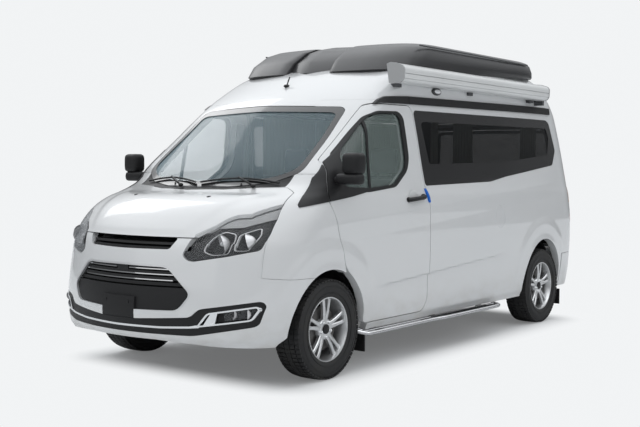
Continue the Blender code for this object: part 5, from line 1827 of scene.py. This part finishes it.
def steering_wheel():
    parts = [bent_ring(0.182, 0.0145, 72, 14),
             moved(ball((0, 0, 0), (0.062, 0.055, 0.024), 32), shift(z=-0.004))]
    for angle in (0, 180, 270):
        arm = loft([[(r, -w, -0.010), (r, w, -0.010), (r, w * 0.8, 0.004),
                     (r, -w * 0.8, 0.004)]
                    for r, w in ((0.04, 0.030), (0.11, 0.020), (0.175, 0.016))])
        parts.append(moved(arm, rotate(angle, "Z")))
    made = moved(merged(parts), shift(0.42, 0.66, 1.20) @ rotate(-60, "X"))
    put(made, "steering_wheel_rim", "black plastic", "steering_wheel", ["steering_wheel"],
        60)


dashboard()
steering_wheel()

# %% [markdown]
# A lining is a sheet of the same skin, a millimetre inside the wall. It leaves
# the windows and the wheel arch free by the outlines they already have.

# %% Linings, door cards and floor
def lining(area, thick, *openings, depth=None):
    """A thin sheet behind a wall."""
    depth = SIDE_WALL if depth is None else depth
    return panel(area, depth + 0.001, depth + thick, *openings)


def side_lining(side):
    window_hole = LEFT_WINDOW if side == "left" else RIGHT_WINDOW
    area = side_area(side, [(1.30, 0.51), (1.26, 1.92), (3.95, 1.92), (3.95, 0.51)], 0.6)
    holes = [side_area(side, grow(window_hole, 0.012), 0.5), side_area(side, rear_arch(0.05))]
    if side == "right":
        card = lining(side_area(side, grow(SLIDING_DOOR, -0.03), 0.6), 0.006,
                      side_area(side, grow(SLIDING_WINDOW, 0.012), 0.5))
        common(card, box(-WIDE, WIDE, 0, BEHIND, 0.515, 1.88))
        put(card, "sliding_door_card", "lining grey")
        holes.append(side_area(side, SLIDING_DOOR, 0.5))
    put(lining(area, 0.006, *holes), f"side_lining_{side}", "lining grey")


def door_card(side):
    card = lining(side_area(side, grow(DOOR, -0.035), 0.80), 0.007,
                  side_area(side, grow(DOOR_WINDOW, 0.01), 0.5))
    common(card, box(-WIDE, WIDE, 0.4, 2, 0.42, 1.80))
    rest = handed(rounded_block((0.835, 0.52, 0.93), (0.905, 1.02, 0.985), 0.018), side)
    put(merged([card, rest]), f"door_card_{side}", "trim grey", f"door_{side}")


ceiling = box(-WIDE, WIDE, 0.5, BEHIND, GUTTER_Z + 0.01, 2.6)
put(lining(ceiling, 0.006, depth=ROOF_WALL), "ceiling_lining", "lining grey")
for side in SIDES:
    side_lining(side)
    door_card(side)
back = lining(rear_area(both(TAILGATE, -0.035), 0.4), 0.006,
              rear_area(both(TAIL_WINDOW, 0.012), 0.3))
put(back, "tailgate_lining", "lining grey", "tailgate")
put(box(-0.66, 0.66, 0.50, WHEELBASE + 0.55, 0.501, 0.506), "floor_mat", "floor mat")
print("cab and living space made")

# %% [markdown]
# ## Small things outside
# Wipers, jets and the short aerial are thin and dark, and the eye looks for them
# against white paint. A strip of blue foam still protects the driver's door edge.

# %% Wipers, jets, aerial and foam
def on_screen(x, z, lift):
    """A point in front of the windscreen."""
    return Vector((x, nose_y(x, z) - lift, z + lift * 0.4))


def wipers():
    parts = []
    for start, end, pivot in ((0.645, 0.02, 0.50), (-0.03, -0.60, -0.12)):
        line = [on_screen(x, 1.322 + 0.028 * math.sin(math.pi * k / 14), 0.012)
                for k, x in enumerate(np.linspace(start, end, 15))]
        boss = Vector((pivot, nose_y(pivot, 1.285) + 0.01, 1.305))
        mid = on_screen((start + end) / 2, 1.352, 0.028)
        bend = boss.lerp(mid, 0.25) + Vector((0, -0.018, 0.010))
        parts += [pipe(line, 0.0065, 8), pipe(curve([boss, bend, mid]), 0.0075, 8),
                  ball(boss, (0.018, 0.018, 0.014), 16)]
    put(merged(parts), "wipers", "black plastic", smooth=60)
    jets = [ball((x, nose_y(x, 1.226) + 0.008, 1.232), (0.016, 0.022, 0.009), 16)
            for x in (-0.35, 0.35)]
    put(merged(jets), "washer_jets", "black plastic", "bonnet", smooth=60)


def aerial():
    parts = [ball((0.0, 0.72, 2.062), (0.018, 0.035, 0.014), 16),
             pipe([(0.0, 0.72, 2.065), (0.0, 0.735, 2.10), (0.0, 0.755, 2.135)], 0.005, 8)]
    put(merged(parts), "roof_aerial", "black plastic", smooth=60)


def edge_foam():
    rings = []
    for t in np.linspace(0, 1, 9):
        y, z = 1.248 - 0.030 * t, 1.168 + 0.108 * t
        x = side_x(y, z)
        thick = 0.004 + 0.009 * math.sin(math.pi * t) ** 0.5
        rings.append([(x + 0.001, y - 0.014, z), (x + thick, y - 0.012, z),
                      (x + thick, y + 0.012, z), (x + 0.001, y + 0.014, z)])
    put(loft(rings), "door_edge_foam", "foam blue", "door_left", smooth=60)


wipers()
aerial()
edge_foam()

# %% [markdown]
# The black cowl closes the gap between bonnet and glass. Under the floor hang the
# exhaust, the tank, the shaft and two dampers.

# %% Cowl and parts below
def cowl():
    made = panel(prism("z", both(COWL, -0.002), 1.10, 1.5), 0.002, 0.030, screen_cut(LINE))
    put(made, "cowl_cover", "black plastic", nodes=["cowl_panel"])


def below():
    exhaust = [pipe(curve([(0.05, -0.10, 0.33), (0.10, 0.5, 0.345), (0.12, 1.5, 0.345),
                           (0.12, 2.2, 0.345)]), 0.026, 16),
               rounded_block((0.02, 2.20, 0.285), (0.30, 2.66, 0.405), 0.05),
               pipe(curve([(0.20, 2.64, 0.34), (0.26, 2.95, 0.325), (0.30, 3.6, 0.335),
                           (0.34, 4.16, 0.325)]), 0.026, 16)]
    put(merged(exhaust), "exhaust", "cast iron", smooth=50)
    tank = rounded_block((-0.40, 1.10, 0.275), (-0.05, 2.05, 0.450), 0.05)
    shaft = pipe([(0.0, 0.15, 0.40), (0.0, 3.25, 0.345)], 0.032, 20)
    dampers = [pipe([(s * 0.60, WHEELBASE + 0.10, 0.36), (s * 0.56, WHEELBASE + 0.26, 0.455)],
                    0.024, 16) for s in (1, -1)]
    put(merged([tank, shaft] + dampers), "tank_and_shaft", "black steel", smooth=50)


cowl()
below()

# %% [markdown]
# ### What stays as packed
# Floor pan, axle, subframe and a few more are hardly seen. They keep the packed
# mesh, and get a finish of their own.

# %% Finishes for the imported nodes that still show
KEPT = {"underbody": "black steel", "bulkhead": "trim grey", "engine_block": "cast iron",
        "front_subframe": "black steel", "rear_axle": "black steel",
        "knuckle_left": "cast iron", "knuckle_right": "cast iron"}
for node, finish in KEPT.items():
    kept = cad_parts[node]
    kept.data.materials.clear()
    kept.data.materials.append(FINISH[finish])
print(len(KEPT), "packed nodes keep their mesh")

# %% [markdown]
# ## Floor, light and camera
# A plain pale floor keeps the van's shadow and fades into the backdrop. Large
# soft lamps light it evenly, as in a showroom. Seen from the camera, the floor also
# glows in the backdrop's colour, fully from 0.42 m beyond the van's footprint and by
# a sixth under it: painted light that lightens the real shadow and cuts it short.

# %% Floor and backdrop
BACKDROP = (0.885, 0.90, 0.91)
FLOOR_HALF = 40.0
CONTACT_WIDTH, CONTACT_LENGTH = 0.84, 0.25    # where the floor's fade begins


def floor_and_backdrop():
    half = FLOOR_HALF
    ground = mesh_object([(-half, -half, 0), (half, -half, 0), (half, half, 0), (-half, half, 0)],
                         [(0, 1, 2, 3)], "floor")
    paint = Finish("floor", (0.84, 0.85, 0.855), 0.9, Specular_IOR_Level=0.1)
    paint.feed("Base Color", paint.mix(paint.noise(0.6), (0.83, 0.84, 0.85, 1),
                                       (0.85, 0.86, 0.865, 1)))
    glow = paint.node("ShaderNodeEmission", None, {"Color": (*BACKDROP, 1), "Strength": 1.0})
    ray = paint.node("ShaderNodeLightPath", output=0)
    past = []
    for axis, reach in ((0, CONTACT_WIDTH), (1, WHEELBASE / 2 + CONTACT_LENGTH)):
        along = paint.axis(axis)
        past.append(along.maths("MAXIMUM", along.maths("ABSOLUTE", along) - reach, 0.0))
    away = (past[0] ** 2 + past[1] ** 2) ** 0.5
    # Painted light: camera rays see the floor glow in the backdrop colour, a sixth under the van
    # and fully away from it, so its shadow is lightened and cut short.
    fade = (0.16 + 0.84 * away.over(0.0, 0.42)) * ray
    mixed = paint.node("ShaderNodeMixShader", None, {
        0: fade, 1: Wire(paint, paint.shader.outputs[0]), 2: glow})
    paint.link(paint.tree.nodes["Material Output"].inputs["Surface"], mixed)
    ground.data.materials.append(paint.material)


floor_and_backdrop()

# %% [markdown]
# The world is brighter above than at the horizon. Rays that go straight to the
# camera see the plain backdrop, and gloss sees a white ceiling as well.

# %% World and lamps
SKY = (0.08, 1.14)      # the strength of the light from the horizon and from above
MIRRORED = (0.15, 0.85, 0.0, 1.1)      # the white ceiling, as gloss and glass show it


def world_light():
    world = bpy.data.worlds.new("studio")
    bpy.context.scene.world = world
    sky = Nodes(world)
    sky.tree.nodes.clear()
    camera_ray, glossy_ray, through = (
        sky.node("ShaderNodeLightPath", output=key)
        for key in ("Is Camera Ray", "Is Glossy Ray", "Is Transmission Ray"))
    where = sky.node("ShaderNodeTexCoord", output="Generated")
    height = sky.node("ShaderNodeSeparateXYZ", None, {0: where}, "Z")
    rise = sky.node("ShaderNodeMapRange", None,
                    {"Value": height, "To Min": SKY[0], "To Max": SKY[1]})
    keys = ("From Min", "From Max", "To Min", "To Max")
    ceiling = sky.node("ShaderNodeMapRange", {"interpolation_type": "SMOOTHSTEP"},
                       {"Value": height, **dict(zip(keys, MIRRORED))})
    soft = sky.node("ShaderNodeBackground", None, {
        "Color": (0.95, 0.975, 1.0, 1), "Strength": glossy_ray * ceiling + rise})
    pale = sky.node("ShaderNodeBackground", None, {"Color": (*BACKDROP, 1)})
    seen = camera_ray.maths("MAXIMUM", camera_ray, through)
    mixed = sky.node("ShaderNodeMixShader", None, {0: seen, 1: soft, 2: pale})
    sky.node("ShaderNodeOutputWorld", None, {"Surface": mixed})


def aim(obj, place, target):
    """Stand an object somewhere and turn its front to a target."""
    obj.location = place
    obj.rotation_euler = (Vector(target) - Vector(place)).to_track_quat("-Z", "Y").to_euler()


def lamp(name, place, target, size, power):
    light = bpy.data.lights.new(name, "AREA")
    light.shape = "RECTANGLE"
    light.size, light.size_y = size
    light.energy = power
    aim(linked(light, name), place, target)


world_light()
lamp("left wall", (10.0, 1.0, 5.0), (0, 0.5, 1.2), (10, 6), 76)
lamp("front wall", (-1.5, -11.0, 5.0), (0, -1, 1.2), (10, 6), 92)
lamp("far panel", (-7.6, 0.9, 7.2), (-0.3, -1.6, 1.5), (4, 4), 80)

# %% [markdown]
# The camera stands off the front left corner at eye height. Its long lens keeps
# the van's lines nearly parallel, and it leans by a quarter of a degree.

# %% Camera
LENS = 57.51
AZIMUTH, DOWN, ROLL = 37.24, 2.586, 0.273      # degrees
EYE = (5.046, -5.485 + AXLE_Y, 1.433)


def camera():
    cam = bpy.data.cameras.new("camera")
    cam.sensor_width = 36.0
    cam.lens = LENS
    obj = linked(cam, "camera")
    azimuth, down, roll = (math.radians(a) for a in (AZIMUTH, DOWN, ROLL))
    ahead = Vector((-math.sin(azimuth) * math.cos(down), math.cos(azimuth) * math.cos(down),
                    -math.sin(down)))
    right = ahead.cross(Vector((0, 0, 1))).normalized()
    up = right.cross(ahead)
    level = right * math.cos(roll) + up * math.sin(roll)
    tall = up * math.cos(roll) - right * math.sin(roll)
    obj.matrix_world = Matrix((level, tall, -ahead)).transposed().to_4x4()
    obj.location = EYE
    bpy.context.scene.camera = obj


camera()
bpy.context.scene.view_settings.view_transform = "Standard"
